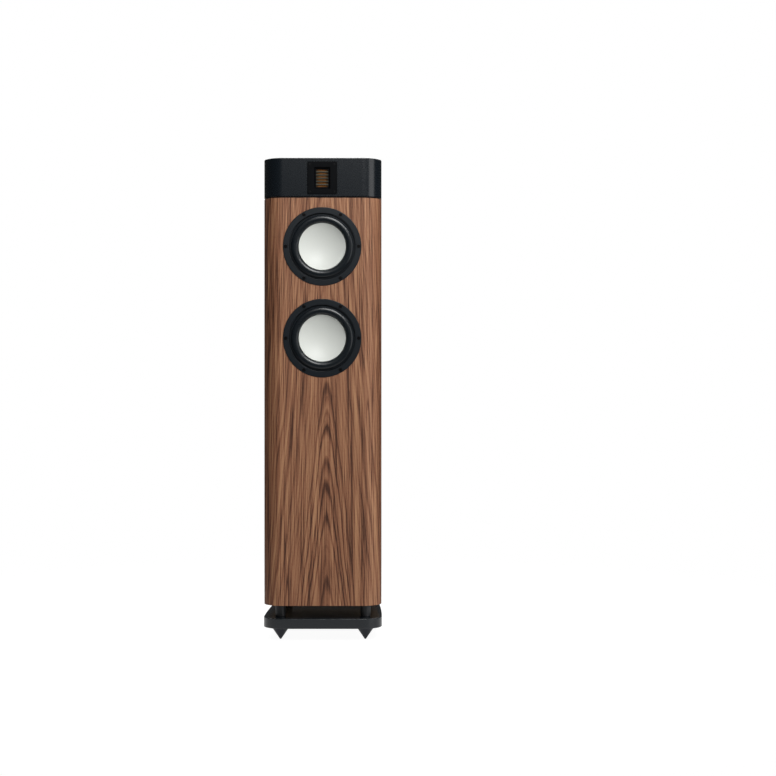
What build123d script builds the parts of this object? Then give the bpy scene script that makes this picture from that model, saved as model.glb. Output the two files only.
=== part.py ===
from build123d import *
import math
import os

os.makedirs("parts", exist_ok=True)

# A floorstanding loudspeaker: a veneered cabinet with two woofers, a black head with a
# folded-foil tweeter, and a plinth on four spikes.
# The origin is on the floor under the middle of the bounding box. +Z is up, the drivers
# face -Y, and +X is on the right of someone who faces them. Depths count from the front.

# Driving dimensions, in millimetres: cabinet
cabinet_width = 254.0
cabinet_depth = 326.0
cabinet_height = 875.5
front_corner_radius = 42.0
rear_corner_radius = 12.0
side_bow_radius = 2800.0
wall = 18.0
inner_corner_least = 1.0
glue_gap = 0.1
seam = 0.3
rear_strip = 10.0
inner_baffle_thickness = 10.0
brace_thickness = 15.0
brace_rises = [205.0, 409.0, 665.0]
brace_rim = 26.0
brace_bar = 22.0
brace_window_radius = 15.0
pad_thickness = 12.0
pad_margin = 4.0
pad_front_setback = 70.0
pad_back_setback = 50.0

# Head, with the tweeter in its front
gasket_thickness = 3.0
gasket_inset = 3.0
head_height = 83.0
head_wall = 14.0
head_edge = 2.0
head_bolt_side = 70.0
head_bolt_pitch = 190.0
head_bolt_radius = 3.0
head_bolt_bite = 16.0
head_bolt_head_radius = 5.0
head_bolt_head_height = 6.0
head_boss_radius = 9.0
cable_hole_radius = 9.0

# Tweeter: faceplate, slotted poles, folded foil, magnets and rear chamber
tweeter_rise = 39.4
faceplate_width = 64.0
faceplate_height = 70.0
faceplate_corner = 3.0
faceplate_thickness = 5.0
faceplate_proud = 0.4
faceplate_gap = 0.4
horn_mouth_width = 34.0
horn_mouth_height = 46.0
window_width = 28.0
window_height = 40.0
window_corner = 1.5
motor_width = 44.0
motor_height = 50.0
motor_gap = 0.5
pole_thickness = 2.0
slot_count = 6
slot_pitch = 6.8
slot_height = 4.2
slot_corner = 1.05
slot_width = 26.0
carrier_thickness = 3.2
foil_pleat = 2.0
foil_pleat_count = 13
foil_depth = 2.4
foil_thickness = 0.3
foil_gap = 0.1
magnet_bar_width = 7.0
magnet_bar_depth = 12.0
tweeter_cup_depth = 20.0
tweeter_cup_wall = 2.0
tweeter_screw_inset = 5.5
tweeter_screw_radius = 1.5
tweeter_screw_head_radius = 2.75
tweeter_screw_length = 14.0

# Woofers
woofer_drop = 104.4
woofer_pitch = 196.7
flange_radius = 84.0
flange_inner_radius = 71.5
flange_thickness = 5.0
flange_proud = 1.5
flange_edge = 0.8
flange_gap = 0.4
foam_thickness = 1.0
cutout_radius = 73.6
inner_cutout_extra = 5.0
screw_circle_radius = 78.4
screw_count = 6
screw_radius = 2.0
screw_head_radius = 4.0
screw_head_height = 2.6
screw_head_sink = 0.3
screw_head_gap = 0.4
screw_length = 18.0
thread_gap = 0.05
landing_depth = 2.3
landing_radius = 66.5
basket_neck_radius = 72.6
basket_wall = 4.0
basket_throat_flare = 1.0
shelf_depth = 34.5
shelf_thickness = 3.0
shelf_inner_radius = 49.0
shelf_outer_radius = 58.0
basket_foot_radius = 54.0
basket_foot_inner_radius = 38.0
basket_foot_thickness = 3.5
motor_depth = 48.0
basket_window_front = 9.0
basket_window_back = 31.0
basket_window_length = 30.0
basket_window_width = 42.0
basket_window_corner = 6.0
basket_window_inset = 10.0
cone_rim_radius = 50.5
cone_rim_depth = 1.5
cone_dish = 17.0
cone_thickness = 1.2
surround_thickness = 0.8
surround_lip_inner = 1.0
surround_roll_outer = 66.9
surround_reach = 4.0
surround_outer_radius = 71.2
former_radius = 19.5
former_thickness = 0.5
former_back_depth = 62.0
winding_thickness = 0.9
winding_front_depth = 45.0
winding_back_depth = 60.5
spider_thickness = 0.6
spider_flat = 0.7
spider_wave_count = 7
spider_wave_height = 1.6
pole_gap = 0.8
top_plate_radius = 46.0
top_plate_thickness = 6.0
magnet_outer_radius = 48.0
magnet_inner_radius = 27.0
magnet_thickness = 18.0
yoke_radius = 46.0
yoke_thickness = 7.0
yoke_lead = 1.0
vent_radius = 6.0
tab_block_width = 20.0
tab_block_height = 8.0
tab_block_thickness = 6.0
tab_width = 4.8
tab_thickness = 0.8
tab_length = 8.0
tab_pitch = 11.0

# Crossover, on the inside of the rear panel
board_width = 150.0
board_height = 150.0
board_thickness = 2.0
board_rise = 313.0
standoff_radius = 4.0
standoff_length = 8.0
standoff_inset = 8.0
coil_outer_radius = 24.0
coil_inner_radius = 11.0
coil_thickness = 18.0
coil_side = 42.0
coil_rise = 42.0
capacitor_radius = 12.0
capacitor_length = 46.0
capacitor_side = 38.0
capacitor_drops = [5.0, 36.0]
resistor_length = 50.0
resistor_size = 9.0
resistor_side = 38.0
resistor_drop = 62.0

# Terminals, in a plate that is flush with the rear panel
terminal_rise = 113.0
terminal_plate_width = 120.0
terminal_plate_height = 90.0
terminal_plate_thickness = 4.0
terminal_plate_corner = 8.0
terminal_plate_gap = 0.3
terminal_opening_width = 90.0
terminal_opening_height = 60.0
plate_screw_inset = 7.5
plate_screw_radius = 2.0
plate_screw_head_radius = 3.6
plate_screw_length = 16.0
post_pitch = 19.05
terminal_post_radius = 4.0
terminal_post_tail = 14.0
running_gap = 0.05
socket_radius = 2.05
socket_depth = 18.0
bush_radius = 9.0
bush_thickness = 3.0
knob_radius = 8.4
knob_length = 22.0
knob_edge = 0.8
post_end_sink = 1.5
nut_across_flats = 13.0
nut_thickness = 5.0

# Port, which blows down into the gap over the plinth
port_setback = 105.0
port_bore_radius = 35.0
port_wall = 3.0
port_length = 150.0
port_flange_radius = 48.0
port_flange_thickness = 3.5
port_mouth_edge = 3.0

# Plinth, posts and spikes
plinth_overhang = 1.0
plinth_thickness = 21.7
plinth_edge = 1.2
stand_clearance = 17.0
stand_setback = 43.0
post_height = 27.5
post_radius = 11.0
spigot_radius = 8.0
spigot_length = 7.0
stand_bolt_radius = 4.0
stand_bolt_bite = 16.0
stand_bolt_head_radius = 6.5
stand_bolt_head_height = 8.0
insert_radius = 8.0
insert_depth = 12.0
spike_height = 27.9
spike_tip_radius = 1.5
spike_radius = 18.5
spike_cone_height = 24.8
spike_rim_edge = 0.8
stud_radius = 4.0
stud_length = 11.0

# Countersunk heads, and the sides of hexagon sockets and nuts
countersink_angle = 90.0
hex_sides = 6

# Internal cables: the points of each route, from the crossover or the terminals outwards
cable_radius = 2.0
cable_bend_share = 0.45
cable_routes = {
    "right terminal lead": [
        (9.5, 134.2, 190.1),
        (9.5, 112, 190.1),
        (23, 98, 220),
        (36, 95, 262),
        (34, 96, 300),
        (18, 106, 330),
        (4, 122.3, 346),
    ],
    "left terminal lead": [
        (-9.5, 134.2, 190.1),
        (-9.5, 110, 190.1),
        (-22, 97, 219),
        (-38, 96, 258),
        (-36, 95, 297),
        (-20, 105, 327),
        (-5, 122.3, 343),
    ],
    "lower woofer lead": [
        (71, 124.2, 452),
        (71, 100, 453),
        (67, 84, 478),
        (60, 70, 516),
        (57, 42, 556),
        (60, 2, 588),
        (70, -36, 610),
        (84, -68, 627),
        (92, -92, 640),
        (94, -113, 648),
        (83, -127, 652),
        (64.6, -130.7, 651.5),
    ],
    "upper woofer lead": [
        (71, 124.2, 428),
        (71, 102, 428),
        (62, 88, 455),
        (48, 84, 500),
        (42, 80, 560),
        (46, 76, 622),
        (50, 70, 684),
        (48, 62, 745),
        (54, 40, 790),
        (68, 0, 822),
        (84, -46, 838),
        (92, -88, 844),
        (94, -112, 847),
        (83, -127, 848.6),
        (64.6, -130.7, 848.2),
    ],
    "tweeter lead": [
        (-71, 124.2, 452),
        (-71, 101, 452),
        (-66, 86, 478),
        (-54, 80, 524),
        (-48, 77, 584),
        (-50, 70, 645),
        (-47, 66, 707),
        (-44, 56, 766),
        (-36, 42, 822),
        (-20, 20, 866),
        (-6, -2, 908),
        (-1, -9, 948),
        (0, -24, 978),
        (0, -50, 992),
        (0, -90, 996),
        (0, -129.3, 995),
    ],
}

# Heights above the floor
plinth_base = spike_height
plinth_top = plinth_base + plinth_thickness
cabinet_base = plinth_top + post_height
cabinet_top = cabinet_base + cabinet_height
head_base = cabinet_top + gasket_thickness
head_top = head_base + head_height
tweeter_z = head_base + tweeter_rise
woofer_upper_z = cabinet_top - woofer_drop
woofer_lower_z = woofer_upper_z - woofer_pitch
woofer_heights = [woofer_upper_z, woofer_lower_z]
brace_heights = [cabinet_base + rise for rise in brace_rises]
board_z = cabinet_base + board_rise
terminal_z = cabinet_base + terminal_rise

# Places along Y
front_reach = max(surround_reach, flange_proud, plinth_overhang)
back_reach = max(bush_thickness + knob_length, plinth_overhang)
overall_depth = front_reach + cabinet_depth + back_reach
cabinet_front = front_reach - overall_depth / 2
cabinet_back = cabinet_front + cabinet_depth
cabinet_middle = (cabinet_front + cabinet_back) / 2
front_flat_half = cabinet_width / 2 - front_corner_radius
stand_side = cabinet_width / 2 - wall - stand_clearance

# Places where the plinth is held and stands, and where the head is bolted
stand_places = [
    (side * stand_side, y)
    for side in (-1, 1)
    for y in (cabinet_front + stand_setback, cabinet_back - stand_setback)
]
head_bolt_places = [
    (side * head_bolt_side, cabinet_middle + end * head_bolt_pitch / 2)
    for side in (-1, 1)
    for end in (-1, 1)
]
rebate_depth = flange_thickness + foam_thickness - flange_proud


def save(piece, label):
    """Label a finished piece and write it to a file of its own."""
    piece.part.label = label
    export_step(piece.part, f"parts/{label}.step")


def bow(inset):
    """Angle of one bowed side, and the rear corner's radius, for a plan inset all round."""
    front_radius = front_corner_radius - inset
    rear_radius = max(rear_corner_radius - inset, inner_corner_least)
    rise = cabinet_depth - 2 * inset - front_radius - rear_radius
    return math.degrees(math.asin(rise / (side_bow_radius - inset - rear_radius))), rear_radius


def plan(inset, height):
    """The cabinet's plan at a height: flat front, round corners, bowed sides, flat back."""
    angle, rear_radius = bow(inset)
    front_y = cabinet_front + inset
    with BuildSketch(Plane.XY.offset(height)) as sketch:
        with BuildLine():
            front = Line((0, front_y), (front_flat_half, front_y))
            corner = JernArc(front @ 1, front % 1, front_corner_radius - inset, 90)
            side = JernArc(corner @ 1, corner % 1, side_bow_radius - inset, angle)
            heel = JernArc(side @ 1, side % 1, rear_radius, 90 - angle)
            Line(heel @ 1, (0, (heel @ 1).Y))
            mirror(about=Plane.YZ)
        make_face()
    return sketch.sketch


def back_flat_half():
    """Half the width of the flat part of the cabinet's back."""
    angle, rear_radius = bow(0)
    lean = math.radians(angle)
    narrowing = side_bow_radius * (1 - math.cos(lean)) + rear_radius * math.cos(lean)
    return cabinet_width / 2 - narrowing


rear_opening_half = back_flat_half() - rear_strip


def front_plane(depth, height):
    """Plane across the speaker at a depth, seen from the front: x is +X and y is up."""
    return Plane(origin=(0, cabinet_front + depth, height), x_dir=(1, 0, 0), z_dir=(0, -1, 0))


def back_plane(out, height):
    """Plane across the speaker, out from its back, seen from behind: x is -X and y is up."""
    return Plane(origin=(0, cabinet_back + out, height), x_dir=(-1, 0, 0), z_dir=(0, 1, 0))


def driver_section(centre_z):
    """Plane of a woofer's section: x is the radius and y is the depth behind the baffle's face."""
    return Plane(origin=(0, cabinet_front, centre_z), x_dir=(1, 0, 0), z_dir=(0, 0, 1))


def driver_axis(centre_z):
    """A woofer's axis, pointing into the cabinet."""
    return Axis((0, cabinet_front, centre_z), (0, 1, 0))


def ring_section(centre_z, inner, outer, front, back):
    """Section of a plain ring of a woofer, between two radii and two depths."""
    with BuildSketch(driver_section(centre_z)) as section:
        with Locations((inner, front)):
            Rectangle(outer - inner, back - front, align=(Align.MIN, Align.MIN))
    return section.sketch


def circles(places, radius, plane):
    """A circle at each place on a plane."""
    with BuildSketch(plane) as sketch:
        with Locations(*places):
            Circle(radius)
    return sketch.sketch


# Cabinet


def make_cabinet_wrap():
    """Front, sides and rear edges, bent from one veneered sheet and open for the rear panel."""
    with BuildPart() as cabinet_wrap:
        extrude(plan(0, cabinet_base), amount=cabinet_height)
        extrude(plan(wall, cabinet_base), amount=cabinet_height, mode=Mode.SUBTRACT)
        with BuildSketch(back_plane(0, cabinet_base)):
            Rectangle(2 * rear_opening_half, cabinet_height, align=(Align.CENTER, Align.MIN))
        extrude(amount=-wall - glue_gap, mode=Mode.SUBTRACT)
        for centre_z in woofer_heights:
            with BuildSketch(front_plane(0, centre_z)):
                Circle(flange_radius + flange_gap)
            extrude(amount=-rebate_depth, mode=Mode.SUBTRACT)
            with BuildSketch(front_plane(0, centre_z)):
                Circle(cutout_radius)
            extrude(amount=-wall, mode=Mode.SUBTRACT)
            with BuildSketch(front_plane(0, centre_z)):
                with PolarLocations(screw_circle_radius, screw_count):
                    Circle(screw_radius + thread_gap)
            extrude(amount=-wall, mode=Mode.SUBTRACT)
    save(cabinet_wrap, "cabinet_wrap")


def make_inner_baffle():
    """Board that doubles the front wall behind the woofers."""
    low = cabinet_base + wall + glue_gap
    height = cabinet_height - 2 * wall - 2 * glue_gap
    with BuildPart() as inner_baffle:
        with BuildSketch(front_plane(wall, low)):
            Rectangle(2 * front_flat_half, height, align=(Align.CENTER, Align.MIN))
        extrude(amount=-inner_baffle_thickness)
        for centre_z in woofer_heights:
            with BuildSketch(front_plane(wall, centre_z)):
                Circle(cutout_radius + inner_cutout_extra)
            extrude(amount=-inner_baffle_thickness, mode=Mode.SUBTRACT)
    save(inner_baffle, "inner_baffle")


def make_rear_panel():
    """Veneered back, with the opening and rebate of the terminal plate and pilot holes."""
    plate_plane = back_plane(0, terminal_z)
    with BuildPart() as rear_panel:
        with BuildSketch(back_plane(0, cabinet_base)):
            Rectangle(2 * rear_opening_half - 2 * seam, cabinet_height, align=(Align.CENTER, Align.MIN))
        extrude(amount=-wall)
        with BuildSketch(plate_plane):
            RectangleRounded(
                terminal_plate_width + 2 * terminal_plate_gap,
                terminal_plate_height + 2 * terminal_plate_gap,
                terminal_plate_corner + terminal_plate_gap,
            )
        extrude(amount=-terminal_plate_thickness, mode=Mode.SUBTRACT)
        with BuildSketch(plate_plane):
            RectangleRounded(terminal_opening_width, terminal_opening_height, terminal_plate_corner)
        extrude(amount=-wall, mode=Mode.SUBTRACT)
        with BuildSketch(plate_plane):
            with plate_screw_places():
                Circle(plate_screw_radius + thread_gap)
        extrude(amount=-plate_screw_length - thread_gap, mode=Mode.SUBTRACT)
    save(rear_panel, "rear_panel")


def plate_screw_places():
    """The terminal plate's screws, one near each corner."""
    return GridLocations(
        terminal_plate_width - 2 * plate_screw_inset,
        terminal_plate_height - 2 * plate_screw_inset,
        2,
        2,
    )


def make_top_panel():
    """Inner lid of the cabinet, drilled for the head's bolts and the tweeter's cable."""
    low = cabinet_top - wall
    with BuildPart() as top_panel:
        extrude(plan(wall + glue_gap, low), amount=wall)
        extrude(
            circles(head_bolt_places, head_bolt_radius + thread_gap, Plane.XY.offset(low)),
            amount=wall,
            mode=Mode.SUBTRACT,
        )
        extrude(
            circles([(0, cabinet_middle)], cable_hole_radius, Plane.XY.offset(low)),
            amount=wall,
            mode=Mode.SUBTRACT,
        )
    save(top_panel, "top_panel")


def make_bottom_panel():
    """Floor of the cabinet, with the port's hole and the holes of the bolts into the posts."""
    port_place = (0, cabinet_front + port_setback)
    base_plane = Plane.XY.offset(cabinet_base)
    with BuildPart() as bottom_panel:
        extrude(plan(wall + glue_gap, cabinet_base), amount=wall)
        extrude(
            circles([port_place], port_bore_radius + port_wall + glue_gap, base_plane),
            amount=wall,
            mode=Mode.SUBTRACT,
        )
        extrude(
            circles([port_place], port_flange_radius + glue_gap, base_plane),
            amount=port_flange_thickness,
            mode=Mode.SUBTRACT,
        )
        extrude(
            circles(stand_places, stand_bolt_radius + thread_gap, base_plane),
            amount=wall,
            mode=Mode.SUBTRACT,
        )
    save(bottom_panel, "bottom_panel")


def make_window_braces():
    """Three boards across the cabinet, each with four windows."""
    inner_width = cabinet_width - 2 * wall
    inner_depth = cabinet_depth - 2 * wall - inner_baffle_thickness
    window_width_each = (inner_width - 2 * brace_rim - brace_bar) / 2
    window_depth_each = (inner_depth - 2 * brace_rim - brace_bar) / 2
    baffle_back = cabinet_front + wall + inner_baffle_thickness
    with BuildPart() as window_braces:
        for height in brace_heights:
            with BuildSketch(Plane.XY.offset(height)) as brace:
                add(plan(wall + glue_gap, 0))
                with Locations((0, baffle_back + glue_gap)):
                    Rectangle(
                        2 * front_flat_half + 2 * glue_gap,
                        wall + inner_baffle_thickness,
                        align=(Align.CENTER, Align.MAX),
                        mode=Mode.SUBTRACT,
                    )
                with Locations((0, baffle_back + inner_depth / 2)):
                    with GridLocations(
                        window_width_each + brace_bar, window_depth_each + brace_bar, 2, 2
                    ):
                        RectangleRounded(
                            window_width_each,
                            window_depth_each,
                            brace_window_radius,
                            mode=Mode.SUBTRACT,
                        )
            extrude(amount=brace_thickness)
    save(window_braces, "window_braces")


def make_damping_pads():
    """Felt on the two side walls of each chamber between the braces."""
    floors = [cabinet_base + wall] + [height + brace_thickness for height in brace_heights]
    ceilings = brace_heights + [cabinet_top - wall]
    low_y = cabinet_front + pad_front_setback
    high_y = cabinet_back - pad_back_setback
    with BuildPart() as damping_pads:
        for floor, ceiling in zip(floors, ceilings):
            with BuildSketch(Plane.XY.offset(floor + pad_margin)):
                add(plan(wall + glue_gap, 0))
                add(plan(wall + glue_gap + pad_thickness, 0), mode=Mode.SUBTRACT)
                with Locations((0, low_y)):
                    Rectangle(
                        cabinet_width,
                        high_y - low_y,
                        align=(Align.CENTER, Align.MIN),
                        mode=Mode.INTERSECT,
                    )
            extrude(amount=ceiling - floor - 2 * pad_margin)
    save(damping_pads, "damping_pads")


def make_port_tube():
    """Bass port: a tube up from the bottom panel, with a flanged and rounded mouth below."""
    base_plane = Plane(origin=(0, cabinet_front + port_setback, cabinet_base), z_dir=(0, 0, 1))
    with BuildPart() as port_tube:
        with BuildSketch(base_plane):
            Circle(port_bore_radius + port_wall)
        extrude(amount=port_length)
        with BuildSketch(base_plane):
            Circle(port_flange_radius)
        extrude(amount=port_flange_thickness)
        with BuildSketch(base_plane):
            Circle(port_bore_radius)
        extrude(amount=port_length, mode=Mode.SUBTRACT)
        mouth = port_tube.edges().group_by(Axis.Z)[0].sort_by(SortBy.LENGTH)[0]
        fillet(mouth, port_mouth_edge)
    save(port_tube, "port_tube")


# Head


def make_head_shell():
    """Black head over the cabinet: open below, with the tweeter's opening and bolt bosses."""
    with BuildPart() as head_shell:
        extrude(plan(0, head_base), amount=head_height)
        fillet(head_shell.edges().group_by(Axis.Z)[-1], head_edge)
        extrude(plan(head_wall, head_base), amount=head_height - head_wall, mode=Mode.SUBTRACT)
        extrude(
            circles(head_bolt_places, head_boss_radius, Plane.XY.offset(head_base)),
            amount=head_height - head_wall,
        )
        extrude(
            circles(head_bolt_places, head_bolt_radius + thread_gap, Plane.XY.offset(head_base)),
            amount=head_bolt_bite,
            mode=Mode.SUBTRACT,
        )
        with BuildSketch(front_plane(0, tweeter_z)):
            RectangleRounded(
                faceplate_width + 2 * faceplate_gap,
                faceplate_height + 2 * faceplate_gap,
                faceplate_corner + faceplate_gap,
            )
        extrude(amount=faceplate_proud - faceplate_thickness, mode=Mode.SUBTRACT)
        with BuildSketch(front_plane(0, tweeter_z)):
            Rectangle(motor_width + 2 * motor_gap, motor_height + 2 * motor_gap)
        extrude(amount=-head_wall, mode=Mode.SUBTRACT)
        with BuildSketch(front_plane(0, tweeter_z)):
            with tweeter_screw_places():
                Circle(tweeter_screw_radius + thread_gap)
        extrude(amount=-head_wall, mode=Mode.SUBTRACT)
    save(head_shell, "head_shell")


def make_head_gasket():
    """Sheet between the cabinet and the head, set in to leave a shadow line."""
    with BuildPart() as head_gasket:
        extrude(plan(gasket_inset, cabinet_top), amount=gasket_thickness)
        extrude(
            circles(head_bolt_places, head_bolt_radius + thread_gap, Plane.XY.offset(cabinet_top)),
            amount=gasket_thickness,
            mode=Mode.SUBTRACT,
        )
        extrude(
            circles([(0, cabinet_middle)], cable_hole_radius, Plane.XY.offset(cabinet_top)),
            amount=gasket_thickness,
            mode=Mode.SUBTRACT,
        )
    save(head_gasket, "head_gasket")


def make_head_bolts():
    """Four bolts up through the top panel and the gasket into the head's bosses."""
    low = cabinet_top - wall
    shank = wall + gasket_thickness + head_bolt_bite - thread_gap
    with BuildPart() as head_bolts:
        extrude(
            circles(head_bolt_places, head_bolt_head_radius, Plane.XY.offset(low)),
            amount=-head_bolt_head_height,
        )
        extrude(circles(head_bolt_places, head_bolt_radius, Plane.XY.offset(low)), amount=shank)
    save(head_bolts, "head_bolts")


# Tweeter: each piece starts at its own depth behind the head's front

pole_depth = faceplate_thickness - faceplate_proud
carrier_depth = pole_depth + pole_thickness
magnet_depth = carrier_depth + carrier_thickness
rear_pole_depth = magnet_depth + magnet_bar_depth
tweeter_cup_front = rear_pole_depth + pole_thickness


def tweeter_screw_places():
    """The faceplate's screws, one near each corner."""
    return GridLocations(
        faceplate_width - 2 * tweeter_screw_inset,
        faceplate_height - 2 * tweeter_screw_inset,
        2,
        2,
    )


def make_tweeter_faceplate():
    """Square plate with a window that widens to the front and four countersinks."""
    front = front_plane(-faceplate_proud, tweeter_z)
    back = front_plane(pole_depth, tweeter_z)
    with BuildPart() as tweeter_faceplate:
        with BuildSketch(front):
            RectangleRounded(faceplate_width, faceplate_height, faceplate_corner)
        extrude(amount=-faceplate_thickness)
        with BuildSketch(front):
            RectangleRounded(horn_mouth_width, horn_mouth_height, window_corner)
        with BuildSketch(back):
            RectangleRounded(window_width, window_height, window_corner)
        loft(mode=Mode.SUBTRACT)
        with Locations(front):
            with tweeter_screw_places():
                CounterSinkHole(
                    tweeter_screw_radius + thread_gap,
                    tweeter_screw_head_radius + thread_gap,
                    faceplate_thickness,
                    countersink_angle,
                )
    save(tweeter_faceplate, "tweeter_faceplate")


def slotted_plate(depth):
    """Steel pole plate with a column of level slots."""
    with BuildPart() as pole:
        with BuildSketch(front_plane(depth, tweeter_z)):
            Rectangle(motor_width, motor_height)
            with GridLocations(0, slot_pitch, 1, slot_count):
                RectangleRounded(slot_width, slot_height, slot_corner, mode=Mode.SUBTRACT)
        extrude(amount=-pole_thickness)
    return pole


def make_tweeter_carrier():
    """Frame that holds the foil by its edges."""
    with BuildPart() as tweeter_carrier:
        with BuildSketch(front_plane(carrier_depth, tweeter_z)):
            Rectangle(motor_width, motor_height)
            Rectangle(window_width, window_height, mode=Mode.SUBTRACT)
        extrude(amount=-carrier_thickness)
    save(tweeter_carrier, "tweeter_carrier")


def make_tweeter_foil():
    """Foil folded into upright pleats, the diaphragm of the tweeter."""
    middle_y = cabinet_front + carrier_depth + carrier_thickness / 2
    start_x = -foil_pleat * foil_pleat_count / 2
    half = (foil_depth - foil_thickness) / 2
    folds = [
        (start_x + step * foil_pleat / 2, middle_y + (half if step % 2 else -half))
        for step in range(2 * foil_pleat_count + 1)
    ]
    tab = (window_width - foil_pleat * foil_pleat_count) / 2 - foil_gap
    folds = [(start_x - tab, middle_y - half)] + folds + [(-start_x + tab, middle_y - half)]
    nearer = [(x, y - foil_thickness / 2) for x, y in folds]
    farther = [(x, y + foil_thickness / 2) for x, y in reversed(folds)]
    height = window_height - 2 * foil_gap
    with BuildPart() as tweeter_foil:
        with BuildSketch(Plane.XY.offset(tweeter_z - height / 2)):
            with BuildLine():
                Polyline(*nearer, *farther, close=True)
            make_face()
        extrude(amount=height)
    save(tweeter_foil, "tweeter_foil")


def make_tweeter_magnets():
    """Two bar magnets, one each side of the foil's rear path."""
    with BuildPart() as tweeter_magnets:
        with BuildSketch(front_plane(magnet_depth, tweeter_z)):
            with GridLocations(motor_width - magnet_bar_width, 0, 2, 1):
                Rectangle(magnet_bar_width, motor_height)
        extrude(amount=-magnet_bar_depth)
    save(tweeter_magnets, "tweeter_magnets")


def make_tweeter_cup():
    """Closed chamber behind the rear pole, with a pair of tabs."""
    with BuildPart() as tweeter_cup:
        with BuildSketch(front_plane(tweeter_cup_front, tweeter_z)):
            Rectangle(motor_width, motor_height)
        extrude(amount=-tweeter_cup_depth)
        with BuildSketch(front_plane(tweeter_cup_front, tweeter_z)):
            Rectangle(motor_width - 2 * tweeter_cup_wall, motor_height - 2 * tweeter_cup_wall)
        extrude(amount=tweeter_cup_wall - tweeter_cup_depth, mode=Mode.SUBTRACT)
        with BuildSketch(front_plane(tweeter_cup_front + tweeter_cup_depth, tweeter_z)):
            with GridLocations(tab_pitch, 0, 2, 1):
                Rectangle(tab_width, tab_thickness)
        extrude(amount=-tab_length)
    save(tweeter_cup, "tweeter_cup")


def make_tweeter_screws():
    """Four countersunk screws through the faceplate into the head."""
    front = front_plane(-faceplate_proud, tweeter_z)
    sink = front_plane(
        tweeter_screw_head_radius - tweeter_screw_radius - faceplate_proud, tweeter_z
    )
    with BuildPart() as tweeter_screws:
        for place in tweeter_screw_places():
            with BuildSketch(front):
                with Locations(place):
                    Circle(tweeter_screw_head_radius - thread_gap)
            with BuildSketch(sink):
                with Locations(place):
                    Circle(tweeter_screw_radius - thread_gap)
            loft()
        with BuildSketch(front):
            with tweeter_screw_places():
                Circle(tweeter_screw_radius - thread_gap)
        extrude(amount=-tweeter_screw_length)
    save(tweeter_screws, "tweeter_screws")


# Woofers

cone_sphere = (cone_rim_radius**2 + cone_dish**2) / (2 * cone_dish)
former_inner_radius = former_radius - former_thickness
surround_inner_radius = cone_rim_radius + glue_gap


def cone_depth(radius):
    """Depth of the cone's front face at a radius: part of a sphere, with no dust cap."""
    drop = cone_sphere - math.sqrt(cone_sphere**2 - radius**2)
    return cone_rim_depth + cone_dish - drop


def make_basket(centre_z, name):
    """Cast frame: flange, landing for the surround, spoked wall, spider shelf and foot."""
    foot_front = motor_depth - basket_foot_thickness
    shelf_back = shelf_depth + shelf_thickness
    throat = basket_neck_radius - basket_wall
    outline = [
        (flange_inner_radius, -flange_proud),
        (flange_radius, -flange_proud),
        (flange_radius, flange_thickness - flange_proud),
        (basket_neck_radius, flange_thickness - flange_proud),
        (shelf_outer_radius, shelf_back),
        (basket_foot_radius, motor_depth),
        (basket_foot_inner_radius, motor_depth),
        (basket_foot_inner_radius, foot_front),
        (basket_foot_radius - basket_wall, foot_front),
        (shelf_outer_radius - basket_wall, shelf_back),
        (shelf_inner_radius, shelf_back),
        (shelf_inner_radius, shelf_depth),
        (shelf_outer_radius - basket_wall + basket_throat_flare, shelf_depth),
        (throat, landing_depth + basket_wall),
        (landing_radius, landing_depth + basket_wall / 2),
        (landing_radius, landing_depth),
        (flange_inner_radius, landing_depth),
    ]
    with BuildPart() as basket:
        with BuildSketch(driver_section(centre_z)):
            with BuildLine():
                Polyline(*outline, close=True)
            make_face()
        revolve(axis=driver_axis(centre_z))
        rim = basket.edges().filter_by(GeomType.CIRCLE).group_by(Axis.Y)[0]
        fillet(rim.sort_by(SortBy.LENGTH)[-1], flange_edge)
        with BuildSketch(front_plane(basket_window_front, centre_z)):
            with PolarLocations(
                basket_neck_radius - basket_window_inset,
                screw_count,
                start_angle=180 / screw_count,
            ):
                RectangleRounded(basket_window_length, basket_window_width, basket_window_corner)
        extrude(amount=basket_window_front - basket_window_back, mode=Mode.SUBTRACT)
        with BuildSketch(front_plane(-flange_proud, centre_z)):
            with PolarLocations(screw_circle_radius, screw_count):
                Circle(screw_radius + thread_gap)
        extrude(amount=-flange_thickness, mode=Mode.SUBTRACT)
        with BuildSketch(front_plane(-flange_proud, centre_z)):
            with PolarLocations(screw_circle_radius, screw_count):
                Circle(screw_head_radius + screw_head_gap)
        extrude(amount=-screw_head_height - screw_head_sink, mode=Mode.SUBTRACT)
    save(basket, name)


def make_cone(centre_z, name):
    """One-piece dished diaphragm."""
    half = cone_rim_radius / 2
    with BuildPart() as cone:
        with BuildSketch(driver_section(centre_z)):
            with BuildLine():
                face = ThreePointArc(
                    (0, cone_depth(0)),
                    (half, cone_depth(half)),
                    (cone_rim_radius, cone_depth(cone_rim_radius)),
                )
                back = ThreePointArc(
                    (0, cone_depth(0) + cone_thickness),
                    (half, cone_depth(half) + cone_thickness),
                    (cone_rim_radius, cone_depth(cone_rim_radius) + cone_thickness),
                )
                Line(face @ 0, back @ 0)
                Line(face @ 1, back @ 1)
            make_face()
        revolve(axis=driver_axis(centre_z))
    save(cone, name)


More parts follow.
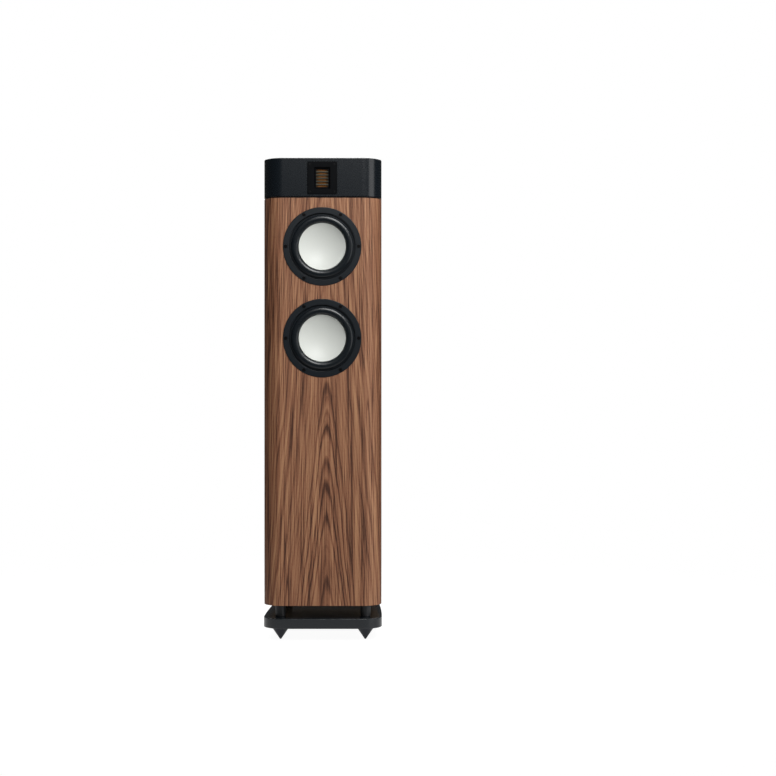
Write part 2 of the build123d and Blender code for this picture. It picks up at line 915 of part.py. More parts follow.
def make_surround(centre_z, name):
    """Rubber half roll from the cone's rim to the basket's landing."""
    inner = cone_rim_radius + surround_lip_inner
    crest = (inner + surround_roll_outer) / 2
    back = cone_rim_depth + surround_thickness
    with BuildPart() as surround:
        with BuildSketch(driver_section(centre_z)):
            with BuildLine():
                outside = ThreePointArc(
                    (inner, cone_rim_depth),
                    (crest, -surround_reach),
                    (surround_roll_outer, cone_rim_depth),
                )
                inside = ThreePointArc(
                    (inner + surround_thickness, back),
                    (crest, surround_thickness - surround_reach),
                    (surround_roll_outer - surround_thickness, back),
                )
                Polyline(
                    outside @ 0,
                    (surround_inner_radius, cone_rim_depth),
                    (surround_inner_radius, back),
                    inside @ 0,
                )
                Polyline(
                    outside @ 1,
                    (surround_outer_radius, cone_rim_depth),
                    (surround_outer_radius, back),
                    inside @ 1,
                )
            make_face()
        revolve(axis=driver_axis(centre_z))
    save(surround, name)


def make_spider(centre_z, name):
    """Corrugated cloth disc that centres the voice coil, glued to the basket's shelf."""
    start = former_radius + glue_gap
    outer = shelf_outer_radius - basket_wall
    wave_length = (shelf_inner_radius - start - 2 * spider_flat) / spider_wave_count
    front = shelf_depth - spider_thickness
    with BuildPart() as spider:
        with BuildSketch(driver_section(centre_z)):
            with BuildLine():
                for level in (front, shelf_depth):
                    Line((start, level), (start + spider_flat, level))
                    for wave in range(spider_wave_count):
                        low = start + spider_flat + wave * wave_length
                        lift = spider_wave_height if wave % 2 else -spider_wave_height
                        ThreePointArc(
                            (low, level),
                            (low + wave_length / 2, level + lift),
                            (low + wave_length, level),
                        )
                    Line((shelf_inner_radius - spider_flat, level), (outer, level))
                Line((start, front), (start, shelf_depth))
                Line((outer, front), (outer, shelf_depth))
            make_face()
        revolve(axis=driver_axis(centre_z))
    save(spider, name)


def make_voice_coil(centre_z, name):
    """Former with its winding, glued to the back of the cone."""
    former_front = cone_depth(former_inner_radius) + cone_thickness + glue_gap
    axis = driver_axis(centre_z)
    with BuildPart() as voice_coil:
        revolve(
            ring_section(
                centre_z, former_inner_radius, former_radius, former_front, former_back_depth
            ),
            axis=axis,
        )
        revolve(
            ring_section(
                centre_z,
                former_radius,
                former_radius + winding_thickness,
                winding_front_depth,
                winding_back_depth,
            ),
            axis=axis,
        )
    save(voice_coil, name)


def make_motor(centre_z, suffix):
    """Top plate, ring magnet and yoke behind the basket, around the voice coil."""
    gap_radius = former_radius + winding_thickness + pole_gap
    pole_radius = former_inner_radius - pole_gap
    plate_back = motor_depth + top_plate_thickness
    magnet_back = plate_back + magnet_thickness
    yoke_back = magnet_back + yoke_thickness
    axis = driver_axis(centre_z)
    with BuildPart() as top_plate:
        revolve(
            ring_section(centre_z, gap_radius, top_plate_radius, motor_depth, plate_back), axis=axis
        )
    save(top_plate, f"top_plate_{suffix}")
    with BuildPart() as magnet:
        revolve(
            ring_section(
                centre_z, magnet_inner_radius, magnet_outer_radius, plate_back, magnet_back
            ),
            axis=axis,
        )
    save(magnet, f"magnet_{suffix}")
    with BuildPart() as yoke:
        revolve(
            ring_section(centre_z, vent_radius, yoke_radius, magnet_back, yoke_back), axis=axis
        )
        revolve(
            ring_section(centre_z, vent_radius, pole_radius, motor_depth + yoke_lead, magnet_back),
            axis=axis,
        )
    save(yoke, f"yoke_{suffix}")


def make_tabs(centre_z, name):
    """Block with two tabs, on the side of the basket."""
    back = front_plane(motor_depth, centre_z)
    with BuildPart() as tabs:
        with BuildSketch(back):
            with Locations((shelf_outer_radius + glue_gap, 0)):
                Rectangle(tab_block_thickness, tab_block_width, align=(Align.MIN, Align.CENTER))
        extrude(amount=motor_depth - shelf_depth - shelf_thickness)
        with BuildSketch(back):
            with Locations((shelf_outer_radius + tab_block_thickness, 0)):
                with GridLocations(0, tab_pitch, 1, 2):
                    Rectangle(tab_length, tab_thickness, align=(Align.MIN, Align.CENTER))
        extrude(amount=tab_width)
    save(tabs, name)


def make_woofer_gaskets():
    """Foam rings between the flanges and their rebates."""
    front = flange_thickness - flange_proud
    with BuildPart() as woofer_gaskets:
        for centre_z in woofer_heights:
            section = ring_section(
                centre_z, cutout_radius, flange_radius, front, front + foam_thickness
            )
            revolve(section, axis=driver_axis(centre_z))
        for centre_z in woofer_heights:
            with BuildSketch(front_plane(front, centre_z)):
                with PolarLocations(screw_circle_radius, screw_count):
                    Circle(screw_radius + thread_gap)
            extrude(amount=-foam_thickness, mode=Mode.SUBTRACT)
    save(woofer_gaskets, "woofer_gaskets")


def make_woofer_screws():
    """Six screws round each flange, their heads sunk in it."""
    head_front = screw_head_sink - flange_proud
    socket_floor = head_front + screw_head_height / 2
    head_back = head_front + screw_head_height
    with BuildPart() as woofer_screws:
        for centre_z in woofer_heights:
            with BuildSketch(front_plane(head_front, centre_z)):
                with PolarLocations(screw_circle_radius, screw_count):
                    Circle(screw_head_radius)
                    RegularPolygon(screw_radius, hex_sides, mode=Mode.SUBTRACT)
            extrude(amount=-screw_head_height / 2)
            with BuildSketch(front_plane(socket_floor, centre_z)):
                with PolarLocations(screw_circle_radius, screw_count):
                    Circle(screw_head_radius)
            extrude(amount=-screw_head_height / 2)
            with BuildSketch(front_plane(head_back, centre_z)):
                with PolarLocations(screw_circle_radius, screw_count):
                    Circle(screw_radius)
            extrude(amount=screw_head_height - screw_length)
    save(woofer_screws, "woofer_screws")


# Crossover: everything stands off the inside of the rear panel

board_back = -wall - standoff_length
board_front = board_back - board_thickness


def make_crossover():
    """Board on standoffs, with its coils, capacitors and resistors."""
    inner_face = back_plane(-wall, board_z)
    board_face = back_plane(board_front, board_z)
    with BuildPart() as crossover_standoffs:
        with BuildSketch(inner_face):
            with GridLocations(
                board_width - 2 * standoff_inset, board_height - 2 * standoff_inset, 2, 2
            ):
                Circle(standoff_radius)
        extrude(amount=-standoff_length)
    save(crossover_standoffs, "crossover_standoffs")
    with BuildPart() as crossover_board:
        with BuildSketch(back_plane(board_back, board_z)):
            Rectangle(board_width, board_height)
        extrude(amount=-board_thickness)
    save(crossover_board, "crossover_board")
    with BuildPart() as crossover_coils:
        with BuildSketch(board_face):
            with Locations((-coil_side, coil_rise), (coil_side, coil_rise)):
                Circle(coil_outer_radius)
                Circle(coil_inner_radius, mode=Mode.SUBTRACT)
        extrude(amount=-coil_thickness)
    save(crossover_coils, "crossover_coils")
    centre_y = cabinet_back + board_front - capacitor_radius
    with BuildPart() as crossover_capacitors:
        for side in (-1, 1):
            for drop in capacitor_drops:
                with BuildSketch(Plane.YZ.offset(side * capacitor_side - capacitor_length / 2)):
                    with Locations((centre_y, board_z - drop)):
                        Circle(capacitor_radius)
                extrude(amount=capacitor_length)
    save(crossover_capacitors, "crossover_capacitors")
    with BuildPart() as crossover_resistors:
        with BuildSketch(board_face):
            with Locations((-resistor_side, -resistor_drop), (resistor_side, -resistor_drop)):
                Rectangle(resistor_length, resistor_size)
        extrude(amount=-resistor_size)
    save(crossover_resistors, "crossover_resistors")


# Terminals


def post_places():
    """The two terminal posts, side by side."""
    return GridLocations(post_pitch, 0, 2, 1)


def make_terminal_plate():
    """Plate screwed into the rear panel's rebate, with a hole for each post."""
    face = back_plane(0, terminal_z)
    with BuildPart() as terminal_plate:
        with BuildSketch(face):
            RectangleRounded(terminal_plate_width, terminal_plate_height, terminal_plate_corner)
        extrude(amount=-terminal_plate_thickness)
        with BuildSketch(face):
            with post_places():
                Circle(terminal_post_radius + thread_gap)
        extrude(amount=-terminal_plate_thickness, mode=Mode.SUBTRACT)
        with Locations(face):
            with plate_screw_places():
                CounterSinkHole(
                    plate_screw_radius + thread_gap,
                    plate_screw_head_radius + thread_gap,
                    terminal_plate_thickness,
                    countersink_angle,
                )
    save(terminal_plate, "terminal_plate")


def make_terminal_posts():
    """Metal posts with a socket in the end for a 4 mm plug."""
    end_plane = back_plane(bush_thickness + knob_length - post_end_sink, terminal_z)
    reach = bush_thickness + knob_length - post_end_sink
    with BuildPart() as terminal_posts:
        with BuildSketch(end_plane):
            with post_places():
                Circle(terminal_post_radius)
        extrude(amount=-reach - terminal_plate_thickness - terminal_post_tail)
        with BuildSketch(end_plane):
            with post_places():
                Circle(socket_radius)
        extrude(amount=-socket_depth, mode=Mode.SUBTRACT)
    save(terminal_posts, "terminal_posts")


def make_terminal_bushes():
    """Insulating collars between the plate and the knobs."""
    with BuildPart() as terminal_bushes:
        with BuildSketch(back_plane(0, terminal_z)):
            with post_places():
                Circle(bush_radius)
                Circle(terminal_post_radius + thread_gap, mode=Mode.SUBTRACT)
        extrude(amount=bush_thickness)
    save(terminal_bushes, "terminal_bushes")


def make_terminal_nuts():
    """Nuts that clamp the posts from inside."""
    with BuildPart() as terminal_nuts:
        with BuildSketch(back_plane(-terminal_plate_thickness, terminal_z)):
            with post_places():
                RegularPolygon(nut_across_flats / 2, hex_sides, major_radius=False)
                Circle(terminal_post_radius + thread_gap, mode=Mode.SUBTRACT)
        extrude(amount=-nut_thickness)
    save(terminal_nuts, "terminal_nuts")


def make_knob(side, name):
    """Screw cap on a post: it backs off to take a bare wire or a fork."""
    with BuildPart() as knob:
        with BuildSketch(back_plane(bush_thickness, terminal_z)):
            with Locations((side * post_pitch / 2, 0)):
                Circle(knob_radius)
                Circle(terminal_post_radius + running_gap, mode=Mode.SUBTRACT)
        extrude(amount=knob_length)
        outer = knob.edges().filter_by(GeomType.CIRCLE).group_by(Axis.Y)[-1]
        fillet(outer.sort_by(SortBy.LENGTH)[-1], knob_edge)
    save(knob, name)


def make_plate_screws():
    """Countersunk screws of the terminal plate."""
    face = back_plane(0, terminal_z)
    sink = back_plane(plate_screw_radius - plate_screw_head_radius, terminal_z)
    with BuildPart() as plate_screws:
        for place in plate_screw_places():
            with BuildSketch(face):
                with Locations(place):
                    Circle(plate_screw_head_radius - thread_gap)
            with BuildSketch(sink):
                with Locations(place):
                    Circle(plate_screw_radius - thread_gap)
            loft()
        with BuildSketch(face):
            with plate_screw_places():
                Circle(plate_screw_radius - thread_gap)
        extrude(amount=-plate_screw_length)
    save(plate_screws, "plate_screws")


# Internal cables


def bend_radii(route):
    """Radius of each corner of a cable's route, as large as its two runs allow."""
    points = [Vector(*point) for point in route]
    radii = []
    for before, here, after in zip(points, points[1:], points[2:]):
        arriving = here - before
        leaving = after - here
        half_turn = math.radians(arriving.get_angle(leaving)) / 2
        shorter = min(arriving.length, leaving.length)
        radii.append(cable_bend_share * shorter / math.tan(half_turn))
    return radii


def cable(name, route):
    """Round cable along a route of straight runs and tangent arcs."""
    radii = bend_radii(route)
    with BuildPart() as tube:
        with BuildLine() as path:
            FilletPolyline(*route, radius=radii)
        with BuildSketch(Plane(origin=path.line @ 0, z_dir=path.line % 0)):
            Circle(cable_radius)
        sweep()
    length = path.wire().length
    share = tube.part.volume / (math.pi * cable_radius**2 * length)
    print(f"{name}: {length:.1f} long, volume over section times length {share:.4f}")
    print("  bend radii", ", ".join(f"{radius:.0f}" for radius in radii))
    return tube.part


def make_internal_cables():
    """Leads from the terminals to the crossover, and from it to each driver."""
    with BuildPart() as internal_cables:
        for name, route in cable_routes.items():
            add(cable(name, route))
    save(internal_cables, "internal_cables")


# Plinth, posts and spikes


def make_plinth():
    """Slab under the cabinet, with sockets above for the posts and below for the inserts."""
    with BuildPart() as plinth:
        extrude(plan(-plinth_overhang, plinth_base), amount=plinth_thickness)
        fillet(plinth.edges().group_by(Axis.Z)[-1], plinth_edge)
        fillet(plinth.edges().group_by(Axis.Z)[0], plinth_edge)
        extrude(
            circles(stand_places, spigot_radius + glue_gap, Plane.XY.offset(plinth_top)),
            amount=-spigot_length - glue_gap,
            mode=Mode.SUBTRACT,
        )
        extrude(
            circles(stand_places, insert_radius + glue_gap, Plane.XY.offset(plinth_base)),
            amount=insert_depth,
            mode=Mode.SUBTRACT,
        )
    save(plinth, "plinth")


def make_stand_posts():
    """Round posts that hold the plinth off the cabinet, with a spigot glued into it."""
    bite = stand_bolt_bite + thread_gap
    with BuildPart() as stand_posts:
        extrude(circles(stand_places, post_radius, Plane.XY.offset(plinth_top)), amount=post_height)
        extrude(
            circles(stand_places, spigot_radius, Plane.XY.offset(plinth_top)), amount=-spigot_length
        )
        extrude(
            circles(stand_places, stand_bolt_radius + thread_gap, Plane.XY.offset(cabinet_base)),
            amount=-bite,
            mode=Mode.SUBTRACT,
        )
    save(stand_posts, "stand_posts")


def make_stand_bolts():
    """Bolts from inside the cabinet down into the posts."""
    seat = Plane.XY.offset(cabinet_base + wall)
    with BuildPart() as stand_bolts:
        extrude(circles(stand_places, stand_bolt_head_radius, seat), amount=stand_bolt_head_height)
        extrude(circles(stand_places, stand_bolt_radius, seat), amount=-wall - stand_bolt_bite)
    save(stand_bolts, "stand_bolts")


def make_spike_inserts():
    """Threaded sleeves in the underside of the plinth."""
    base_plane = Plane.XY.offset(plinth_base)
    with BuildPart() as spike_inserts:
        extrude(circles(stand_places, insert_radius, base_plane), amount=insert_depth)
        extrude(
            circles(stand_places, stud_radius + running_gap, base_plane),
            amount=insert_depth,
            mode=Mode.SUBTRACT,
        )
    save(spike_inserts, "spike_inserts")


def make_spike(place, name):
    """Cone foot with a small flat tip and a stud that screws into the insert."""
    plane = Plane(origin=(place[0], place[1], 0), x_dir=(1, 0, 0), z_dir=(0, -1, 0))
    with BuildPart() as spike:
        with BuildSketch(plane):
            with BuildLine():
                Polyline(
                    (0, 0),
                    (spike_tip_radius, 0),
                    (spike_radius, spike_cone_height),
                    (spike_radius, spike_height),
                    (stud_radius, spike_height),
                    (stud_radius, spike_height + stud_length),
                    (0, spike_height + stud_length),
                    close=True,
                )
            make_face()
        revolve(axis=Axis((place[0], place[1], 0), (0, 0, 1)))
        rims = spike.edges().filter_by(GeomType.CIRCLE)
        widest = rims.filter_by(lambda edge: edge.radius > spike_radius - running_gap)
        fillet(widest, spike_rim_edge)
    save(spike, name)


make_cabinet_wrap()
make_inner_baffle()
make_rear_panel()
make_top_panel()
make_bottom_panel()
make_window_braces()
make_damping_pads()
make_port_tube()

make_head_shell()
make_head_gasket()
make_head_bolts()

make_tweeter_faceplate()
save(slotted_plate(pole_depth), "tweeter_front_pole")
make_tweeter_carrier()
make_tweeter_foil()
make_tweeter_magnets()
save(slotted_plate(rear_pole_depth), "tweeter_rear_pole")
make_tweeter_cup()
make_tweeter_screws()

for suffix, centre_z in (("upper", woofer_upper_z), ("lower", woofer_lower_z)):
    make_basket(centre_z, f"basket_{suffix}")
    make_cone(centre_z, f"cone_{suffix}")
    make_surround(centre_z, f"surround_{suffix}")
    make_spider(centre_z, f"spider_{suffix}")
    make_voice_coil(centre_z, f"voice_coil_{suffix}")
    make_motor(centre_z, suffix)
    make_tabs(centre_z, f"woofer_tabs_{suffix}")
make_woofer_gaskets()
make_woofer_screws()

make_crossover()
make_terminal_plate()
make_terminal_posts()
make_terminal_bushes()
make_terminal_nuts()
make_knob(-1, "knob_red")
make_knob(1, "knob_black")
make_plate_screws()
make_internal_cables()

make_plinth()
make_stand_posts()
make_stand_bolts()
make_spike_inserts()
spike_names = ["spike_front_left", "spike_back_left", "spike_front_right", "spike_back_right"]
for name, place in zip(spike_names, stand_places):
    make_spike(place, name)
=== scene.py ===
"""Looks of a floorstanding speaker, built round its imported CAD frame.

Lengths in the code are millimetres, in the frame's own axes: +Z up, the drivers face -Y.
Meshes are written in metres. Depths count back from the cabinet's front face.
"""

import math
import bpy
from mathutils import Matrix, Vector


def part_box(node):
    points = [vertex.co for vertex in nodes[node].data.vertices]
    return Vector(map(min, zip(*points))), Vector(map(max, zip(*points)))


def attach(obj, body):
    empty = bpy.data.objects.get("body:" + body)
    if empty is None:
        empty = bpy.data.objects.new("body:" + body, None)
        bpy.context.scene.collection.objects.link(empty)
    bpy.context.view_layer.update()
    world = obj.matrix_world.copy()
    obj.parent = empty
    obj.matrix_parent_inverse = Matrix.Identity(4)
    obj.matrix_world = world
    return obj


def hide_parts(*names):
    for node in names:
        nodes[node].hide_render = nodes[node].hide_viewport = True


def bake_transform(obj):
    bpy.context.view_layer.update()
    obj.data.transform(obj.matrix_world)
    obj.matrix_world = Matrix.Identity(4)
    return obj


bl_info = {
    "name": "Floorstanding speaker",
    "version": (1, 0, 0),
    "blender": (4, 5, 0),
    "location": "3D View > Sidebar > Speaker",
    "description": "Builds the finish of a floorstanding speaker round its CAD frame",
    "category": "Object",
}

import bmesh
import bpy
import numpy as np
from bpy.props import FloatProperty, FloatVectorProperty, IntProperty, PointerProperty
from mathutils import Vector

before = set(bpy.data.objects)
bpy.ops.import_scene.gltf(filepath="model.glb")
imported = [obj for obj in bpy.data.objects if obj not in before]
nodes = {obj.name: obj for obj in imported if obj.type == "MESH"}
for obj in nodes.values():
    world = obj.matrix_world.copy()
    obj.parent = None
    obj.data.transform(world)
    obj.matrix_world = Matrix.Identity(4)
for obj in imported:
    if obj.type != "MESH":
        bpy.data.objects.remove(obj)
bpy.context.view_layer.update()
for flat_material in bpy.data.materials:
    flat_material.name = "frame_" + flat_material.name

MM = 0.001
WOOFERS = ("upper", "lower")
SPIKES = ("front_left", "back_left", "front_right", "back_right")
KNOBS = ("red", "black")
SMOOTH_ANGLE = math.radians(32)


def box(node):
    """Lowest and highest corner of a CAD node, in millimetres."""
    low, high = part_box(node)
    return low / MM, high / MM


def middle(node):
    """Centre of a CAD node's box, in millimetres."""
    low, high = box(node)
    return (low + high) / 2


wrap_low, wrap_high = box("cabinet_wrap")
cabinet_front = wrap_low.y
cabinet_back = wrap_high.y
cabinet_half_width = wrap_high.x
cabinet_depth = cabinet_back - cabinet_front


# Colours


def linear(hex_colour):
    """Linear RGBA of an sRGB hex colour."""
    shares = [int(hex_colour[place : place + 2], 16) / 255 for place in (1, 3, 5)]
    return [s / 12.92 if s <= 0.04045 else ((s + 0.055) / 1.055) ** 2.4 for s in shares] + [1.0]


def colour_setting(name, description, hex_colour):
    """A colour that a user can change."""
    return FloatVectorProperty(
        name=name,
        description=description,
        subtype="COLOR",
        size=4,
        min=0,
        max=1,
        default=linear(hex_colour),
    )


def length_setting(name, description, millimetres):
    """A length that a user can change."""
    return FloatProperty(
        name=name, description=description, unit="LENGTH", min=0, default=millimetres * MM
    )


def count_setting(name, description, count, least, most):
    """A number of like things that a user can change."""
    return IntProperty(name=name, description=description, min=least, max=most, default=count)


def power_setting(name, description, power):
    """The power of a light, in watts, or a strength that a user can change."""
    return FloatProperty(name=name, description=description, min=0, default=power)


# Settings


class CabinetSettings(bpy.types.PropertyGroup):
    """Sizes and colours of the veneered cabinet, the head and the plinth."""

    front_corner: length_setting("Front corner", "Radius of the two upright front corners", 42)
    rear_corner: length_setting("Rear corner", "Radius of the two upright rear corners", 12)
    side_bow: length_setting("Side bow", "Radius of the bowed sides", 2800)
    wall: length_setting("Wall", "Thickness of the bent front and sides", 18)
    veneer_edge: length_setting("Veneer edge", "Rounding of the cabinet's cut edges", 0.6)
    head_edge: length_setting("Head edge", "Rounding of the head's top edge", 2)
    head_wall: length_setting("Head wall", "Thickness of the head's shell", 14)
    plinth_edge: length_setting("Plinth edge", "Rounding of the plinth's edges", 1.2)
    ring_width: length_setting("Growth rings", "Distance between growth rings in the veneer", 7)
    wood_light: colour_setting("Light wood", "Lightest streaks of the veneer", "#C2916C")
    wood_middle: colour_setting("Wood", "Ground colour of the veneer", "#97654A")
    wood_dark: colour_setting("Dark wood", "Late wood and pores of the veneer", "#4C2E20")
    lacquer: colour_setting("Lacquer", "Colour of the head and the plinth", "#0F161C")


class DriverSettings(bpy.types.PropertyGroup):
    """Sizes and colours of the tweeter and the woofers."""

    flange: length_setting("Flange", "Outer radius of a woofer's flange", 84)
    flange_inner: length_setting("Flange opening", "Inner radius of a woofer's flange", 71.5)
    cone: length_setting("Cone", "Radius of a woofer's cone", 50.5)
    cone_dish: length_setting("Dish", "Depth of the cone's dish", 14.5)
    roll_outer: length_setting("Roll", "Outer radius of the surround's roll", 66.9)
    screw_circle: length_setting("Screw circle", "Radius of the woofer's screw circle", 78.4)
    screw_count: count_setting("Screws", "Screws round each woofer", 6, 3, 12)
    slat_count: count_setting("Slats", "Level bars across the tweeter's window", 5, 1, 9)
    slat_pitch: length_setting("Slat pitch", "Distance between the tweeter's bars", 6.8)
    pleat: length_setting("Pleat", "Width of one pleat of the tweeter's foil", 2)
    cone_colour: colour_setting("Cone", "Colour of the woofers' cones", "#E9ECE6")
    foil_colour: colour_setting("Foil", "Colour of the tweeter's foil", "#946230")


class FootSettings(bpy.types.PropertyGroup):
    """Sizes of the posts, spikes and terminals."""

    spike_tip: length_setting("Spike tip", "Radius of a spike's flat tip", 1.5)
    rib_count: count_setting("Ribs", "Grip ribs round a terminal knob", 24, 6, 60)
    rib: length_setting("Rib", "Radius of one grip rib", 0.7)
    socket: length_setting("Socket", "Radius of a terminal's plug socket", 2.05)


class StudioSettings(bpy.types.PropertyGroup):
    """Light and floor of the studio."""

    floor_colour: colour_setting("Floor", "Colour of the pale floor", "#6A6A6A")
    key_power: power_setting("Key", "Power of the key softbox", 59)
    fill_power: power_setting("Fill", "Power of the fill softbox", 12)
    side_power: power_setting("Side", "Power of the side softbox", 17)
    accent_power: power_setting("Accent", "Power of the small accent softbox", 6)
    back_power: power_setting("Back", "Power of each softbox behind the speaker", 100)
    ambient: power_setting("Ambient", "Strength of the room's even light", 0.04)


# Meshes


def new_object(name, data):
    """An object for a mesh, a light or a camera, in the scene."""
    made = bpy.data.objects.new(name, data)
    bpy.context.scene.collection.objects.link(made)
    return made


def coordinates(mesh):
    """The mesh's points as rows of x, y and z, in metres."""
    numbers = np.empty(len(mesh.vertices) * 3)
    mesh.vertices.foreach_get("co", numbers)
    return numbers.reshape(-1, 3)


def settle(piece):
    """Turn the evaluated piece into a plain mesh and drop its modifiers."""
    evaluated = piece.evaluated_get(bpy.context.evaluated_depsgraph_get())
    mesh = bpy.data.meshes.new_from_object(evaluated)
    piece.modifiers.clear()
    piece.data = mesh
    mesh.name = piece.name
    return piece


def stack(name, loops, ends="caps"):
    """Solid through loops of points that have one count; ends are capped, joined or open."""
    count = len(loops[0])
    shape = bmesh.new()
    rows = [[shape.verts.new(Vector(point) * MM) for point in loop] for loop in loops]
    pairs = list(zip(rows, rows[1:]))
    if ends == "joined":
        pairs.append((rows[-1], rows[0]))
    for near, far in pairs:
        for place in range(count):
            after = (place + 1) % count
            shape.faces.new((near[place], near[after], far[after], far[place]))
    if ends == "caps":
        shape.faces.new(rows[0])
        shape.faces.new(rows[-1])
    bmesh.ops.remove_doubles(shape, verts=shape.verts, dist=1e-7)
    bmesh.ops.recalc_face_normals(shape, faces=shape.faces)
    mesh = bpy.data.meshes.new(name)
    shape.to_mesh(mesh)
    shape.free()
    return new_object(name, mesh)


def cut(piece, cutters):
    """Cut closed shapes out of a piece, and throw the cutters away."""
    for cutter in cutters:
        tool = piece.modifiers.new("cut", "BOOLEAN")
        tool.operation = "DIFFERENCE"
        tool.solver = "EXACT"
        tool.object = cutter
    settle(piece)
    piece.data.materials.clear()
    for cutter in cutters:
        bpy.data.objects.remove(cutter)
    return piece


def smooth(piece):
    """Smooth shading that keeps corners sharp and flat faces flat."""
    piece.data.shade_smooth()
    piece.data.set_sharp_from_angle(angle=SMOOTH_ANGLE)
    weighted = piece.modifiers.new("normals", "WEIGHTED_NORMAL")
    weighted.keep_sharp = True
    return settle(piece)


# Outlines: flat points, in mm


def rotated(point, angle):
    """A flat point turned about the origin."""
    cosine, sine = math.cos(angle), math.sin(angle)
    return Vector((point.x * cosine - point.y * sine, point.x * sine + point.y * cosine))


def soften(corners, steps=5):
    """Closed outline of (point, radius) corners, each rounded by its radius."""
    nearly_straight = math.radians(89)
    outline = []
    for place, (here, radius) in enumerate(corners):
        here = Vector(here)
        before = Vector(corners[place - 1][0]) - here
        after = Vector(corners[(place + 1) % len(corners)][0]) - here
        half = before.angle(after) / 2
        if radius == 0 or half > nearly_straight:
            outline.append(here)
            continue
        before.normalize()
        after.normalize()
        reach = radius / math.tan(half)
        centre = here + (before + after).normalized() * (radius / math.sin(half))
        start = here + before * reach - centre
        end = here + after * reach - centre
        turn = start.angle_signed(end)
        outline += [centre + rotated(start, -turn * step / steps) for step in range(steps + 1)]
    return outline


def rectangle(width, height, radius, steps=6):
    """Rounded rectangle about its own centre."""
    x, y = width / 2, height / 2
    return soften([(corner, radius) for corner in ((-x, -y), (x, -y), (x, y), (-x, y))], steps)


def circle(radius, count=48):
    """Points round a circle."""
    angles = [2 * math.pi * step / count for step in range(count)]
    return [Vector((radius * math.cos(angle), radius * math.sin(angle))) for angle in angles]


def hexagon(radius, count=24):
    """Points evenly spaced in angle round a hexagon."""
    sixth = math.pi / 3
    points = []
    for step in range(count):
        angle = 2 * math.pi * step / count
        reach = radius * math.cos(sixth / 2) / math.cos(angle % sixth - sixth / 2)
        points.append(Vector((reach * math.cos(angle), reach * math.sin(angle))))
    return points


def bow(inset):
    """Angle of one bowed side and the rear corner's radius, for the plan inset all round."""
    settings = bpy.context.scene.speaker_cabinet
    front_radius = settings.front_corner / MM - inset
    rear_radius = max(settings.rear_corner / MM - inset, 1.0)
    rise = cabinet_depth - 2 * inset - front_radius - rear_radius
    return math.asin(rise / (settings.side_bow / MM - inset - rear_radius)), rear_radius


def half_plan(inset):
    """Right half of the cabinet's plan: flat front, round corner, bowed side, heel, back."""
    settings = bpy.context.scene.speaker_cabinet
    angle, rear_radius = bow(inset)
    front_radius = settings.front_corner / MM
    side_radius = settings.side_bow / MM
    corner = Vector((cabinet_half_width - front_radius, cabinet_front + front_radius))
    side = Vector((cabinet_half_width - side_radius, corner.y))
    heel = side + Vector((math.cos(angle), math.sin(angle))) * (side_radius - inset - rear_radius)
    arcs = [
        (corner, front_radius - inset, -math.pi / 2, 0.0, 18),
        (side, side_radius - inset, 0.0, angle, 12),
        (heel, rear_radius, angle, math.pi / 2, 8),
    ]
    points = []
    for centre, radius, start, end, steps in arcs:
        for step in range(steps + 1):
            spoke = start + (end - start) * step / steps
            points.append(centre + Vector((math.cos(spoke), math.sin(spoke))) * radius)
    return points


def plan(inset):
    """The whole plan, inset all round."""
    right = half_plan(inset)
    return right + [Vector((-p.x, p.y)) for p in reversed(right)]


# Solids from outlines


def upright(points, depth, centre=(0, 0)):
    """Flat points set upright, at a depth behind the front and about a centre (x, z)."""
    return [(centre[0] + p[0], cabinet_front + depth, centre[1] + p[1]) for p in points]


def level(points, height, centre=(0, 0)):
    """Flat points laid level at a height, about a centre (x, y)."""
    return [(centre[0] + p[0], centre[1] + p[1], height) for p in points]


def layered(name, rows, centre, ends="caps"):
    """Solid through rows of an outline and its depth, set upright about a centre."""
    return stack(name, [upright(points, depth, centre) for points, depth in rows], ends)


def prism(outline, depths, centre):
    """Straight cutter of one upright outline from one depth to another."""
    return layered("prism", [(outline, depth) for depth in depths], centre)


def turned(name, section, centre, count=96, ends="joined", place=upright):
    """Piece turned from a section of (radius, depth or height)."""
    loops = [place(circle(max(radius, 1e-6), count), along, centre) for radius, along in section]
    return stack(name, loops, ends)


def drill(stations, centre, count=48, place=upright):
    """Round cutter through (radius, depth or height) stations, closed at both ends."""
    section = [(0, stations[0][1]), *stations, (0, stations[-1][1])]
    return turned("drill", section, centre, count, "open", place)


def slab(name, low, high, inset, low_edge, high_edge, steps=5):
    """Slab with the cabinet's plan and rounded edges below and above."""

    def edge(radius, height, inwards):
        """Rows from the slab's face, round its edge and to its side."""
        turns = [math.pi / 2 * step / steps for step in range(steps + 1)] if radius else [0]
        return [
            level(
                plan(inset + radius * (1 - math.sin(turn))),
                height + inwards * radius * (1 - math.cos(turn)),
            )
            for turn in turns
        ]

    return stack(name, edge(low_edge, low, 1) + edge(high_edge, high, -1)[::-1])


